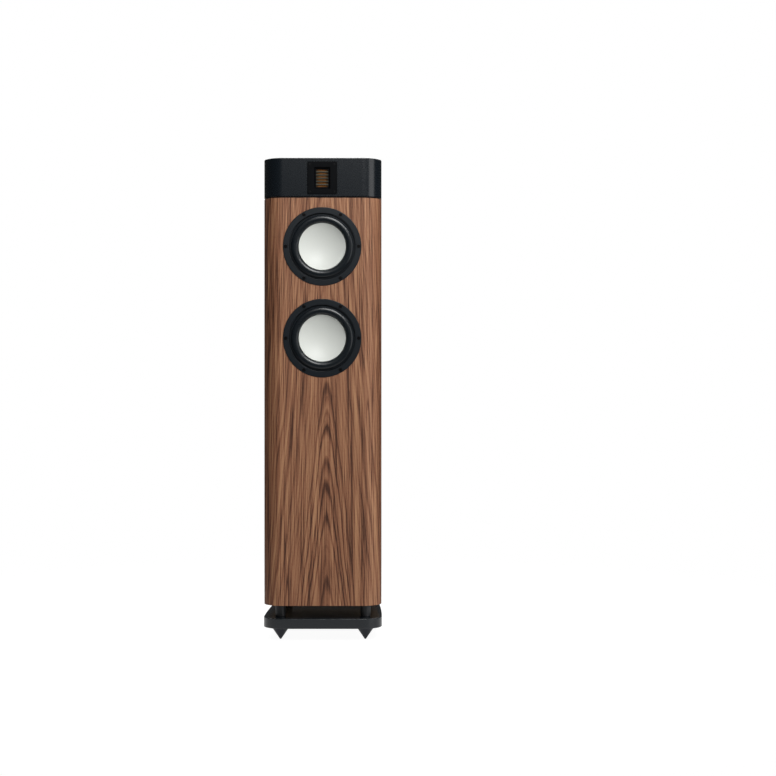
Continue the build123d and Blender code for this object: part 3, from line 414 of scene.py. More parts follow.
def write_grain(piece, flat_from=None):
    """Store how far each point is along the outline, its height and its depth in the wall.

    On a flat panel the first is counted level from flat_from, in mm, and not round the outline.
    """
    outline = [Vector((0, cabinet_front)), *half_plan(0), Vector((0, cabinet_back))]
    outline = np.array(outline) * MM
    start, step = outline[:-1], np.diff(outline, axis=0)
    length = np.linalg.norm(step, axis=1)
    real = length > 0
    start, step, length = start[real], step[real], length[real]
    before = np.concatenate([[0], np.cumsum(length)[:-1]])

    # Nearest spot of the outline to each point, mirrored to the right half
    place = coordinates(piece.data)
    flat = np.stack([np.abs(place[:, 0]), place[:, 1]], axis=1)
    share = np.einsum("pk,sk->ps", flat, step) - np.einsum("sk,sk->s", start, step)
    share = np.clip(share / length**2, 0, 1)
    nearest = start + share[:, :, None] * step
    gap = np.linalg.norm(flat[:, None, :] - nearest, axis=2)
    best = gap.argmin(axis=1)
    rows = np.arange(len(flat))
    if flat_from is None:
        across = np.sign(place[:, 0]) * (before[best] + share[rows, best] * length[best])
    else:
        across = place[:, 0] + flat_from * MM
    grain = np.stack([across, place[:, 2], gap[rows, best]], axis=1)
    attribute = piece.data.attributes.new("grain", "FLOAT_VECTOR", "POINT")
    attribute.data.foreach_set("vector", grain.astype(np.float32).ravel())


# Node trees


def add_node(tree, kind, inputs=(), stops=(), **settings):
    """Add a node with its settings; an input takes a value, a socket or another node."""
    made = tree.nodes.new(kind)
    for name, value in settings.items():
        setattr(made, name, value)
    named = inputs if isinstance(inputs, dict) else dict(enumerate(inputs))
    for name, value in named.items():
        if isinstance(name, int):
            socket = made.inputs[name]
        else:
            socket = next(s for s in made.inputs if s.name == name and s.enabled)
        if isinstance(value, bpy.types.Node):
            value = next(s for s in value.outputs if s.enabled)
        if isinstance(value, bpy.types.NodeSocket):
            tree.links.new(value, socket)
        else:
            socket.default_value = value
    if stops:
        ends = made.color_ramp.elements
        for element, (position, colour) in ((ends[0], stops[0]), (ends[1], stops[-1])):
            element.position = position
            element.color = colour
        for position, colour in stops[1:-1]:
            ends.new(position).color = colour
    return made


def new_material(name):
    """Empty node material with a Principled shader."""
    material = bpy.data.materials.new(name)
    material.use_nodes = True
    tree = material.node_tree
    tree.nodes.clear()
    shader = add_node(tree, "ShaderNodeBsdfPrincipled")
    add_node(tree, "ShaderNodeOutputMaterial", {"Surface": shader})
    return material, tree, shader


def set_sockets(shader, values):
    """Set the shader's own sockets, which are the same all over the surface."""
    for name, value in values.items():
        shader.inputs[name].default_value = value


def in_millimetres(tree, scale=(1, 1, 1)):
    """Object coordinates in millimetres, times a scale for each axis."""
    place = add_node(tree, "ShaderNodeTexCoord").outputs["Object"]
    factor = [share / MM for share in scale]
    return add_node(tree, "ShaderNodeVectorMath", [place, factor], operation="MULTIPLY")


def shades(colour, spread):
    """A darker and a lighter shade of a colour, given as hex or as linear RGBA."""
    base = linear(colour) if isinstance(colour, str) else list(colour)
    dark = [share * (1 - spread) for share in base[:3]] + [1]
    light = [min(1, share * (1 + spread)) for share in base[:3]] + [1]
    return dark, light


def surface(tree, shader, tone, depth, colour, spread, roughness):
    """Colour, gloss and a relief of a depth in mm that follow a tone from 0 to 1."""
    dark, light = shades(colour, spread)
    painted = add_node(tree, "ShaderNodeValToRGB", [tone], stops=[(0.25, dark), (0.75, light)])
    range_of_gloss = {
        "Value": tone,
        "From Min": 0.25,
        "From Max": 0.75,
        "To Min": max(0.02, roughness * (1 - spread)),
        "To Max": min(1, roughness * (1 + spread)),
    }
    relief = add_node(tree, "ShaderNodeBump", {"Height": tone, "Distance": depth * MM})
    gloss = add_node(tree, "ShaderNodeMapRange", range_of_gloss)
    tree.links.new(painted.outputs[0], shader.inputs["Base Color"])
    tree.links.new(gloss.outputs[0], shader.inputs["Roughness"])
    tree.links.new(relief.outputs[0], shader.inputs["Normal"])


def grained(name, colour, roughness, grain, depth, spread=0.12, scale=(1, 1, 1), sockets=None):
    """Finish whose colour, gloss and relief vary with a grain; grain and depth in mm."""
    material, tree, shader = new_material(name)
    cloud = {
        "Vector": in_millimetres(tree, scale),
        "Scale": 1 / grain,
        "Detail": 3.0,
        "Roughness": 0.6,
    }
    fine = add_node(tree, "ShaderNodeTexNoise", cloud)
    surface(tree, shader, fine, depth, colour, spread, roughness)
    set_sockets(shader, sockets or {})
    return material


def new_geometry_tree(name, inputs):
    """Geometry node tree with named inputs after the geometry; returns it and their sockets."""
    tree = bpy.data.node_groups.new(name, "GeometryNodeTree")
    tree.interface.new_socket("Geometry", in_out="INPUT", socket_type="NodeSocketGeometry")
    for label, kind in inputs.items():
        tree.interface.new_socket(label, in_out="INPUT", socket_type=f"NodeSocket{kind}")
    tree.interface.new_socket("Material", in_out="INPUT", socket_type="NodeSocketMaterial")
    tree.interface.new_socket("Geometry", in_out="OUTPUT", socket_type="NodeSocketGeometry")
    return tree, add_node(tree, "NodeGroupInput").outputs


def close_geometry_tree(tree, source, geometry):
    """End a tree in real geometry with the given material."""
    real = add_node(tree, "GeometryNodeRealizeInstances", [geometry])
    skin = {"Geometry": real, "Material": source["Material"]}
    painted = add_node(tree, "GeometryNodeSetMaterial", skin)
    add_node(tree, "NodeGroupOutput", [painted])
    return tree


def run_tree(piece, tree, material, values):
    """Run a tree on a piece with these inputs, and keep the result as a plain mesh."""
    modifier = piece.modifiers.new("pattern", "NODES")
    modifier.node_group = tree
    named = dict(values, Material=finish(material))
    for socket in tree.interface.items_tree:
        if socket.in_out == "INPUT" and socket.name in named:
            modifier[socket.identifier] = named[socket.name]
    return settle(piece)


def fasteners_tree():
    """A screw on every point of the mesh, each turned by chance about its own axis."""
    tree, source = new_geometry_tree("fasteners", {"Screw": "Object", "Seed": "Int"})
    screw = add_node(tree, "GeometryNodeObjectInfo", {"Object": source["Screw"]})
    chance = {"Min": 0.0, "Max": 2 * math.pi, "Seed": source["Seed"]}
    turn = add_node(tree, "FunctionNodeRandomValue", chance, data_type="FLOAT")
    screws_on_points = {
        "Points": source["Geometry"],
        "Instance": screw.outputs["Geometry"],
        "Rotation": add_node(tree, "ShaderNodeCombineXYZ", {"Y": turn}),
    }
    placed = add_node(tree, "GeometryNodeInstanceOnPoints", screws_on_points)
    return close_geometry_tree(tree, source, placed)


def slats_tree():
    """A column of level bars with rounded edges."""
    sizes = ("Pitch", "Length", "Height", "Depth", "Edge")
    kinds = {"Count": "Int", **{size: "Float" for size in sizes}, "Place": "Vector"}
    tree, source = new_geometry_tree("slats", kinds)
    step = add_node(tree, "ShaderNodeCombineXYZ", {"Z": source["Pitch"]})
    spots = {"Count": source["Count"], "Offset": step}
    column = add_node(tree, "GeometryNodeMeshLine", spots, mode="OFFSET")
    ends = {}
    for end, side in (("Start", -0.5), ("End", 0.5)):
        reach = add_node(tree, "ShaderNodeMath", [source["Length"], side], operation="MULTIPLY")
        ends[end] = add_node(tree, "ShaderNodeCombineXYZ", {"X": reach})
    line = add_node(tree, "GeometryNodeCurvePrimitiveLine", ends)
    section = {"Width": source["Depth"], "Height": source["Height"]}
    profile = add_node(tree, "GeometryNodeCurvePrimitiveQuadrilateral", section)
    edges = {"Curve": profile, "Radius": source["Edge"], "Count": 4}
    rounded = add_node(tree, "GeometryNodeFilletCurve", edges, mode="POLY")
    sweep = {"Curve": line, "Profile Curve": rounded, "Fill Caps": True}
    bar = add_node(tree, "GeometryNodeCurveToMesh", sweep)
    placed = add_node(tree, "GeometryNodeInstanceOnPoints", {"Points": column, "Instance": bar})
    moving = {"Geometry": placed, "Translation": source["Place"]}
    moved = add_node(tree, "GeometryNodeTransform", moving)
    return close_geometry_tree(tree, source, moved)


def pleats_tree():
    """A foil folded into upright pleats: a sheet that waves across its width, given a wall."""
    kinds = {"Pleats": "Int", "Width": "Float", "Height": "Float", "Depth": "Float"}
    kinds.update({"Thickness": "Float", "Place": "Vector"})
    tree, source = new_geometry_tree("pleats", kinds)
    # Twelve columns to a pleat, and one more to close the last
    count = [source["Pleats"], 12.0, 1.0]
    columns = add_node(tree, "ShaderNodeMath", count, operation="MULTIPLY_ADD")
    grid = {
        "Size X": source["Width"],
        "Size Y": source["Height"],
        "Vertices X": columns,
        "Vertices Y": 9,
    }
    sheet = add_node(tree, "GeometryNodeMeshGrid", grid).outputs["Mesh"]
    raising = {"Geometry": sheet, "Rotation": (math.pi / 2, 0.0, 0.0)}
    raised = add_node(tree, "GeometryNodeTransform", raising)

    # Wave of one turn for each pleat
    place = add_node(tree, "ShaderNodeSeparateXYZ", [add_node(tree, "GeometryNodeInputPosition")])
    share = [place.outputs["X"], source["Width"]]
    share = add_node(tree, "ShaderNodeMath", share, operation="DIVIDE")
    turns = add_node(tree, "ShaderNodeMath", [share, source["Pleats"]], operation="MULTIPLY")
    angle = add_node(tree, "ShaderNodeMath", [turns, 2 * math.pi], operation="MULTIPLY")
    wave = add_node(tree, "ShaderNodeMath", [angle], operation="COSINE")
    reach = add_node(tree, "ShaderNodeMath", [source["Depth"], 0.5], operation="MULTIPLY")
    shift = add_node(tree, "ShaderNodeMath", [wave, reach], operation="MULTIPLY")
    waving = {"Geometry": raised, "Offset": add_node(tree, "ShaderNodeCombineXYZ", {"Y": shift})}
    folded = add_node(tree, "GeometryNodeSetPosition", waving)

    thickening = {
        "Mesh": folded,
        "Offset": (0.0, 1.0, 0.0),
        "Offset Scale": source["Thickness"],
        "Individual": False,
    }
    wall = add_node(tree, "GeometryNodeExtrudeMesh", thickening)
    back = add_node(tree, "GeometryNodeFlipFaces", [folded])
    both = add_node(tree, "GeometryNodeJoinGeometry")
    tree.links.new(wall.outputs["Mesh"], both.inputs[0])
    tree.links.new(back.outputs[0], both.inputs[0])
    merging = {"Geometry": both, "Distance": 1e-6}
    closed = add_node(tree, "GeometryNodeMergeByDistance", merging)
    moving = {"Geometry": closed, "Translation": source["Place"]}
    moved = add_node(tree, "GeometryNodeTransform", moving)
    return close_geometry_tree(tree, source, moved)


def ribs_tree():
    """Round ribs along a knob's side, added to the knob itself."""
    kinds = {"Count": "Int", "Radius": "Float", "Rib": "Float", "Length": "Float"}
    tree, source = new_geometry_tree("ribs", dict(kinds, Place="Vector"))
    circle_of_ribs = {"Vertices": source["Count"], "Radius": source["Radius"]}
    ring = add_node(tree, "GeometryNodeMeshCircle", circle_of_ribs)
    sizes = {"Vertices": 10, "Radius": source["Rib"], "Depth": source["Length"]}
    rod = add_node(tree, "GeometryNodeMeshCylinder", sizes).outputs["Mesh"]
    placed = add_node(tree, "GeometryNodeInstanceOnPoints", {"Points": ring, "Instance": rod})
    moving = {
        "Geometry": placed,
        "Translation": source["Place"],
        "Rotation": (math.pi / 2, 0.0, 0.0),
    }
    moved = add_node(tree, "GeometryNodeTransform", moving)
    both = add_node(tree, "GeometryNodeJoinGeometry")
    tree.links.new(moved.outputs[0], both.inputs[0])
    tree.links.new(source["Geometry"], both.inputs[0])
    return close_geometry_tree(tree, source, both)


# Finishes


# Heights at which the veneer's arches come to a point, in mm above the floor, and the slope
# of their flanks: how far they spread for each millimetre down
ARCH_HEIGHTS = [129, 270, 339, 382, 465, 491, 547]
ARCH_SLOPE = 0.11
ARCH_ROUND = 12.0
ARCH_SIDE = 9.4
FIGURE_SPAN = 160.0
# Section of one arch: how far from its line a shade begins, in mm, and how dark it is
ARCH_SECTION = [(-2.6, 0.0), (0.0, 0.9), (0.9, 0.5), (1.6, 0.0)]
# Upright streaks of the veneer: how far each is to the right of the middle, how much lighter
# or darker it is than the wood around it, and how far it reaches to each side. The wide dark
# ones at -126 and 142 are painted shade over the rounded front corners
STREAKS_AND_CORNER_SHADE = [
    # painted shade over the left front corner
    (-126, -1.0, 38),
    (-96, -0.3, 5),
    (-68, -0.8, 6),
    (-42, -0.7, 6),
    (-18, 0.3, 6),
    (61, -0.5, 6),
    (72, 0.5, 4),
    (87, -0.6, 6),
    (106, 0.4, 8),
    # painted shade over the right front corner
    (142, -0.7, 20),
]
STREAK_SPAN = 330.0
# Spacing of a wave texture's lines at scale 1
WAVE_SPACING = 0.314


def grey(shade):
    """A grey stop's colour, from 0, black, to 1, white."""
    return [shade, shade, shade, 1]


def walnut_veneer():
    """Walnut, sliced flat and satin lacquered: brown rings that meet in pointed arches, with painted
    shade darkening the rounded front corners.
    """
    material, tree, shader = new_material("walnut_veneer")
    cabinet = bpy.context.scene.speaker_cabinet
    grain = add_node(tree, "ShaderNodeAttribute", attribute_name="grain").outputs["Vector"]
    place = add_node(tree, "ShaderNodeVectorMath", [grain, (1 / MM,) * 3], operation="MULTIPLY")

    def fibres(across, along, detail=2.0, shift=0.0):
        """Noise drawn out along the grain; both lengths in mm."""
        drawing = [place, (1 / across, 1 / along, 0.0), (shift, shift, shift)]
        drawn = add_node(tree, "ShaderNodeVectorMath", drawing, operation="MULTIPLY_ADD")
        cloud = {"Vector": drawn, "Scale": 1.0, "Detail": detail}
        return add_node(tree, "ShaderNodeTexNoise", cloud).outputs[0]

    # Distance in the log: level lines of the figure are the arches
    axes = add_node(tree, "ShaderNodeSeparateXYZ", [place])
    wander = 18.0
    wobble = [fibres(45, 230), wander, -wander / 2 - ARCH_SIDE]
    wobble = add_node(tree, "ShaderNodeMath", wobble, operation="MULTIPLY_ADD")
    side = add_node(tree, "ShaderNodeMath", [axes.outputs["X"], wobble], operation="ADD")
    square = add_node(tree, "ShaderNodeMath", [side, side, ARCH_ROUND**2], operation="MULTIPLY_ADD")
    root = add_node(tree, "ShaderNodeMath", [square], operation="SQRT")
    rise = [axes.outputs["Y"], ARCH_SLOPE, root]
    figure = add_node(tree, "ShaderNodeMath", rise, operation="MULTIPLY_ADD")

    # Growth rings: broad bands, and late wood that darkens towards each ring's end
    ring = cabinet.ring_width / MM
    count = add_node(tree, "ShaderNodeMath", [figure, 1 / ring], operation="MULTIPLY")
    cloud = {"W": count, "Scale": 0.8, "Detail": 2.0}
    band = add_node(tree, "ShaderNodeTexNoise", cloud, noise_dimensions="1D").outputs[0]
    part = add_node(tree, "ShaderNodeMath", [count], operation="FRACT")
    darkening = {"Value": part, "From Min": 0.55, "From Max": 1.0}
    late = add_node(tree, "ShaderNodeMapRange", darkening, interpolation_type="SMOOTHSTEP")
    late = add_node(tree, "ShaderNodeMath", [late, fibres(9, 300, shift=5)], operation="MULTIPLY")

    stops = [(0.0, grey(0))]
    for height in ARCH_HEIGHTS:
        centre = ARCH_ROUND + ARCH_SLOPE * height
        stops += [((centre + shift) / FIGURE_SPAN, grey(shade)) for shift, shade in ARCH_SECTION]
    share = add_node(tree, "ShaderNodeMath", [figure, 1 / FIGURE_SPAN], operation="MULTIPLY")
    arches = add_node(tree, "ShaderNodeValToRGB", [share], stops=stops).outputs[0]

    # Grain streaks, and painted shade over the rounded front corners
    stops = [(0.0, grey(0.5))]
    for centre, strength, reach in STREAKS_AND_CORNER_SHADE:
        for shift, share in ((-1, 0), (0, strength), (1, 0)):
            position = 0.5 + (centre + shift * reach) / STREAK_SPAN
            stops.append((position, grey(0.5 + share / 2)))
    across = [side, 1 / STREAK_SPAN, 0.5 + ARCH_SIDE / STREAK_SPAN]
    across = add_node(tree, "ShaderNodeMath", across, operation="MULTIPLY_ADD")
    streaks_and_corner_shade = add_node(tree, "ShaderNodeValToRGB", [across], stops=stops).outputs[0]

    dots = {"Value": fibres(0.55, 9, 1.0, 3), "From Min": 0.6, "From Max": 0.7}
    pores = add_node(tree, "ShaderNodeMapRange", dots)
    swell = fibres(8, 700, 1.0, 19)

    def vein(height, width=0.02):
        """Thin line where the broad swell of the wood passes a height from 0 to 1."""
        away = add_node(tree, "ShaderNodeMath", [swell, height], operation="SUBTRACT")
        away = add_node(tree, "ShaderNodeMath", [away], operation="ABSOLUTE")
        fall = {"Value": away, "From Max": width, "To Min": 1.0, "To Max": 0.0}
        return add_node(tree, "ShaderNodeMapRange", fall)

    # What swings about its middle, and what only darkens or lightens
    tone = 0.5
    for pattern, weight in (
        (band, 0.5),
        (streaks_and_corner_shade, 0.34),
        (fibres(14, 900), 0.5),
        (fibres(2.8, 420, shift=11), 0.5),
        (fibres(1.2, 170, shift=7), 0.75),
    ):
        centred = add_node(tree, "ShaderNodeMath", [pattern, 0.5], operation="SUBTRACT")
        tone = add_node(tree, "ShaderNodeMath", [centred, weight, tone], operation="MULTIPLY_ADD")
    for pattern, weight in (
        (late, -0.2),
        (arches, -0.26),
        (vein(0.5), -0.28),
        (vein(0.555), 0.18),
        (vein(0.38), -0.25),
        (vein(0.62), -0.2),
        (pores, -0.12),
    ):
        tone = add_node(tree, "ShaderNodeMath", [pattern, weight, tone], operation="MULTIPLY_ADD")

    colours = ((0.17, cabinet.wood_dark), (0.42, cabinet.wood_middle), (0.72, cabinet.wood_light))
    stops = [(position, list(colour)) for position, colour in colours]
    painted = add_node(tree, "ShaderNodeValToRGB", [tone], stops=stops)
    gloss = {"Value": tone, "To Min": 0.62, "To Max": 0.42}
    gloss = add_node(tree, "ShaderNodeMapRange", gloss)
    relief = {"Height": pores, "Distance": 0.05 * MM}
    relief = add_node(tree, "ShaderNodeBump", relief, invert=True)
    tree.links.new(painted.outputs[0], shader.inputs["Base Color"])
    tree.links.new(gloss.outputs[0], shader.inputs["Roughness"])
    tree.links.new(relief.outputs[0], shader.inputs["Normal"])
    set_sockets(shader, {"Specular IOR Level": 0.35})
    return material


def fibreboard():
    """Medium density fibreboard, sawn: pale brown felted fibres with no gloss."""
    return grained("fibreboard", "#A98A66", 0.85, 0.8, 0.05, 0.15)


def felt():
    """Polyester felt: grey, soft and dull, with a light nap."""
    return grained("felt", "#8B8C8E", 0.95, 0.5, 0.4, 0.25, sockets={"Sheen Weight": 0.4})


def port_plastic():
    """Moulded ABS: black, with a fine spark-eroded grain."""
    return grained("port_plastic", "#17181A", 0.5, 0.7, 0.02)


def black_lacquer():
    """Satin black polyurethane lacquer, sprayed: near-black and even, with a faint orange peel."""
    colour = bpy.context.scene.speaker_cabinet.lacquer
    coat = {"Coat Weight": 0.25, "Coat Roughness": 0.1}
    return grained("black_lacquer", colour, 0.27, 1.6, 0.0015, 0.08, sockets=coat)


def foam_rubber():
    """Closed-cell neoprene foam: black, matt, with small cells."""
    material, tree, shader = new_material("foam_rubber")
    bubbles = {"Vector": in_millimetres(tree), "Scale": 1 / 0.8}
    cells = add_node(tree, "ShaderNodeTexVoronoi", bubbles).outputs["Distance"]
    surface(tree, shader, cells, 0.15, "#131313", 0.3, 0.85)
    return material


def black_steel():
    """Steel, black oxide finish: nearly black, with a soft metal gloss."""
    return grained("black_steel", "#0A0B0D", 0.5, 0.4, 0.01, 0.15, sockets={"Metallic": 0.7})


def black_anodised():
    """Aluminium, bead blasted and anodised black: fine even sparkle, bluish black."""
    dull = {"Specular IOR Level": 0.08}
    return grained("black_anodised", "#06080B", 0.45, 0.35, 0.012, 0.1, sockets=dull)


def slat_steel():
    """Steel pole plate under a grey-green paint: the tweeter's level bars."""
    return grained("slat_steel", "#46473A", 0.4, 0.5, 0.01, 0.1, sockets={"Metallic": 0.2})


def inner_plastic():
    """Glass-filled nylon: dark grey, with a slightly cloudy surface."""
    return grained("inner_plastic", "#2B2B2C", 0.55, 1.0, 0.02)


def copper_foil():
    """Folded polyimide film with metal tracks 1.6 mm apart: amber, with a painted highlight in the
    middle and painted shade at its sides.
    """
    material, tree, shader = new_material("copper_foil")
    place = in_millimetres(tree)
    bands = {"Vector": place, "Scale": WAVE_SPACING / 1.6}
    tracks = add_node(tree, "ShaderNodeTexWave", bands, bands_direction="Z").outputs["Fac"]
    dark, light = shades(bpy.context.scene.speaker_driver.foil_colour, 0.35)
    stops = [(0.35, dark), (0.65, light)]
    painted = add_node(tree, "ShaderNodeValToRGB", [tracks], stops=stops)
    # Painted light: darker towards the foil's sides, where the pole frame would shade it, and a
    # little brighter in the middle
    side = add_node(tree, "ShaderNodeSeparateXYZ", [place]).outputs["X"]
    reach = add_node(tree, "ShaderNodeMath", [side], operation="ABSOLUTE")
    side_shade_range = {"Value": reach, "From Min": 5.0, "From Max": 13.0, "To Min": 1.1, "To Max": 0.25}
    fade = add_node(tree, "ShaderNodeMapRange", side_shade_range, interpolation_type="SMOOTHSTEP")
    painting_side_shade = {"Vector": painted, "Scale": fade}
    foil_with_painted_shade = add_node(tree, "ShaderNodeVectorMath", painting_side_shade, operation="SCALE").outputs["Vector"]
    tree.links.new(foil_with_painted_shade, shader.inputs["Base Color"])
    set_sockets(shader, {"Metallic": 0.6, "Roughness": 0.32})
    return material


def ferrite():
    """Sintered ferrite: charcoal grey, dull, with a stony grain."""
    return grained("ferrite", "#3B3A3A", 0.7, 1.2, 0.05, 0.2)


def cast_black():
    """Die-cast aluminium, powder coated black: even satin with a very fine texture."""
    return grained("cast_black", "#12191F", 0.36, 0.6, 0.015, 0.1)


def white_cone():
    """Hard anodised diaphragm: pale silver grey, smooth, with a satin gloss."""
    colour = bpy.context.scene.speaker_driver.cone_colour
    satin = {"Specular IOR Level": 0.4}
    return grained("white_cone", colour, 0.4, 1.5, 0.004, 0.02, sockets=satin)


def surround_rubber():
    """Butyl rubber: black, soft, with a broad low gloss."""
    return grained("surround_rubber", "#141A1F", 0.28, 0.9, 0.01, 0.1)


def spider_cloth():
    """Resin-dipped cotton weave: yellowish, dull, with crossing threads 0.7 mm apart."""
    material, tree, shader = new_material("spider_cloth")
    bands = {"Vector": in_millimetres(tree), "Scale": WAVE_SPACING / 0.7}
    threads = [
        add_node(tree, "ShaderNodeTexWave", bands, bands_direction=direction).outputs["Fac"]
        for direction in ("X", "Z")
    ]
    weave = add_node(tree, "ShaderNodeMath", threads, operation="MULTIPLY")
    surface(tree, shader, weave, 0.15, "#B59A5B", 0.3, 0.9)
    return material


def copper_wire():
    """Enamelled copper in close turns 0.5 mm apart: red-brown, with bright lines."""
    material, tree, shader = new_material("copper_wire")
    bands = {"Vector": in_millimetres(tree), "Scale": WAVE_SPACING / 0.5}
    turns = add_node(tree, "ShaderNodeTexWave", bands, bands_direction="Y").outputs["Fac"]
    surface(tree, shader, turns, 0.1, "#B4623A", 0.3, 0.3)
    set_sockets(shader, {"Metallic": 0.9})
    return material


def plated_steel():
    """Zinc-plated steel: pale grey metal, slightly mottled."""
    return grained("plated_steel", "#B9BCBF", 0.35, 2.0, 0.01, 0.1, sockets={"Metallic": 1.0})


def circuit_board():
    """Glass epoxy board under green solder resist, with tracks 3 mm apart."""
    material, tree, shader = new_material("circuit_board")
    place = in_millimetres(tree, (1, 0, 1))
    bricks = {"Vector": place, "Scale": 1 / 6, "Mortar Size": 0.04}
    tracks = add_node(tree, "ShaderNodeTexBrick", bricks).outputs["Fac"]
    surface(tree, shader, tracks, 0.04, "#1E5B38", 0.25, 0.3)
    return material


def capacitor_film():
    """Film capacitor in a glossy yellow wrap: smooth, with slight unevenness."""
    return grained("capacitor_film", "#C7A334", 0.25, 6.0, 0.1, 0.08)


def resistor_ceramic():
    """Cement-filled ceramic case: off-white and chalky."""
    return grained("resistor_ceramic", "#D8D2C4", 0.9, 0.6, 0.05, 0.08)


def plated_brass():
    """Gold-plated brass, turned: warm metal with faint rings of the tool."""
    metal = {"Metallic": 1.0}
    return grained("plated_brass", "#D9B36A", 0.22, 0.4, 0.008, 0.08, (0.2, 1, 0.2), metal)


def knob_red():
    """Moulded polycarbonate, red: smooth and slightly glossy."""
    return grained("knob_red", "#A31A1C", 0.28, 1.2, 0.006, 0.06)


def knob_black():
    """Moulded polycarbonate, black: smooth and slightly glossy."""
    return grained("knob_black", "#141415", 0.28, 1.2, 0.006, 0.06)


def cable_jacket():
    """Soft PVC: grey-black, dull."""
    return grained("cable_jacket", "#262729", 0.6, 1.0, 0.02)


def black_coated_metal():
    """Aluminium, powder coated black: satin, with a very fine texture."""
    return grained("black_coated_metal", "#34373A", 0.42, 0.6, 0.02, 0.1)


def black_chrome():
    """Steel, turned and black chromed: dark mirror with faint rings of the tool."""
    metal = {"Metallic": 1.0}
    return grained("black_chrome", "#3C3E42", 0.16, 0.5, 0.004, 0.08, (0.1, 0.1, 1), metal)


FINISHES = {
    maker.__name__: maker
    for maker in (
        walnut_veneer,
        fibreboard,
        felt,
        port_plastic,
        black_lacquer,
        foam_rubber,
        black_steel,
        black_anodised,
        slat_steel,
        inner_plastic,
        copper_foil,
        ferrite,
        cast_black,
        white_cone,
        surround_rubber,
        spider_cloth,
        copper_wire,
        plated_steel,
        circuit_board,
        capacitor_film,
        resistor_ceramic,
        plated_brass,
        knob_red,
        knob_black,
        cable_jacket,
        black_coated_metal,
        black_chrome,
    )
}

# Nodes that keep their CAD mesh, by finish
CAD_FINISHES = {
    "fibreboard": ["inner_baffle", "top_panel", "bottom_panel", "window_braces"],
    "felt": ["damping_pads"],
    "foam_rubber": ["head_gasket", "woofer_gaskets"],
    "black_steel": ["head_bolts", "stand_bolts", "top_plate_upper", "top_plate_lower"],
    "ferrite": ["tweeter_magnets", "magnet_upper", "magnet_lower"],
    "inner_plastic": ["tweeter_carrier", "tweeter_cup", "woofer_tabs_upper", "woofer_tabs_lower"],
    "spider_cloth": ["spider_upper", "spider_lower"],
    "copper_wire": ["voice_coil_upper", "voice_coil_lower", "crossover_coils"],
    "plated_steel": [
        "yoke_upper",
        "yoke_lower",
        "tweeter_rear_pole",
        "crossover_standoffs",
        "spike_inserts",
    ],
    "circuit_board": ["crossover_board"],
    "capacitor_film": ["crossover_capacitors"],
    "resistor_ceramic": ["crossover_resistors"],
    "plated_brass": ["terminal_nuts"],
    "cable_jacket": ["internal_cables"],
}


def finish(name):
    """The material of a finish, made when it is first asked for."""
    return bpy.data.materials.get(name) or FINISHES[name]()


def fit(piece, body, slot, *replaced):
    """Finish a piece, fix it to its body and let it stand for CAD nodes."""
    if not piece.data.materials:
        piece.data.materials.append(finish(slot))
    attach(piece, body)
    if replaced:
        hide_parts(*replaced)
    return piece


# Pieces


# How far a cutter runs past the face that it cuts, in mm
OVER = 5.0
# How far a screw's head stands behind the plate's face, in mm
SCREW_SINK = 0.15
SCREW_SEED = 7
# Width of the open groove between a woofer's flange and the glued edge of its rubber roll
GROOVE = 1.5
# Radius of a terminal's post, in mm
TERMINAL_POST = 4.0


def once(node, name, names):
    """The node for the first of the pieces that stand for it together, nothing for the rest."""
    return [node] if name == names[0] else []


def veneered(piece, *replaced, flat_from=None):
    """Veneer outside and bare board in the cut edges, where a face reaches into the wall."""
    smooth(piece)
    write_grain(piece, flat_from)
    mesh = piece.data
    mesh.materials.append(finish("walnut_veneer"))
    mesh.materials.append(finish("fibreboard"))
    gap = [item.vector[2] for item in mesh.attributes["grain"].data]
    skin = 0.9 * MM
    for face in mesh.polygons:
        if max(gap[vertex] for vertex in face.vertices) > skin:
            face.material_index = 1
    return fit(piece, "cabinet", "walnut_veneer", *replaced)


def bent_front(settings, drivers):
    """Front and sides in one sheet, with the woofers' cut-outs and open at the back."""
    edge, wall = settings.veneer_edge / MM, settings.wall / MM
    flange_gap, bore = 0.4, 73.6
    slot_gap, slot_depth = 0.3, wall + 1
    rebate = drivers.flange / MM + flange_gap
    rebate_depth = box("woofer_gaskets")[1].y - cabinet_front
    ends = (wrap_low.z - OVER, wrap_high.z + OVER)
    wrap = slab("veneered_cabinet", wrap_low.z, wrap_high.z, 0, edge, edge, 3)
    cutters = [slab("hollow", *ends, wall, 0, 0)]
    for suffix in WOOFERS:
        centre = (0, middle(f"cone_{suffix}").z)
        cutters.append(drill([(rebate, -OVER), (rebate, rebate_depth)], centre, 128))
        cutters.append(drill([(bore, -OVER), (bore, wall + OVER)], centre, 128))
    half = box("rear_panel")[1].x + slot_gap
    slot = [(-half, 0), (half, 0), (half, slot_depth), (-half, slot_depth)]
    start = (0, cabinet_back - wall - 0.1)
    cutters.append(stack("back slot", [level(slot, height, start) for height in ends]))
    cut(wrap, cutters)
    return veneered(wrap, "cabinet_wrap")


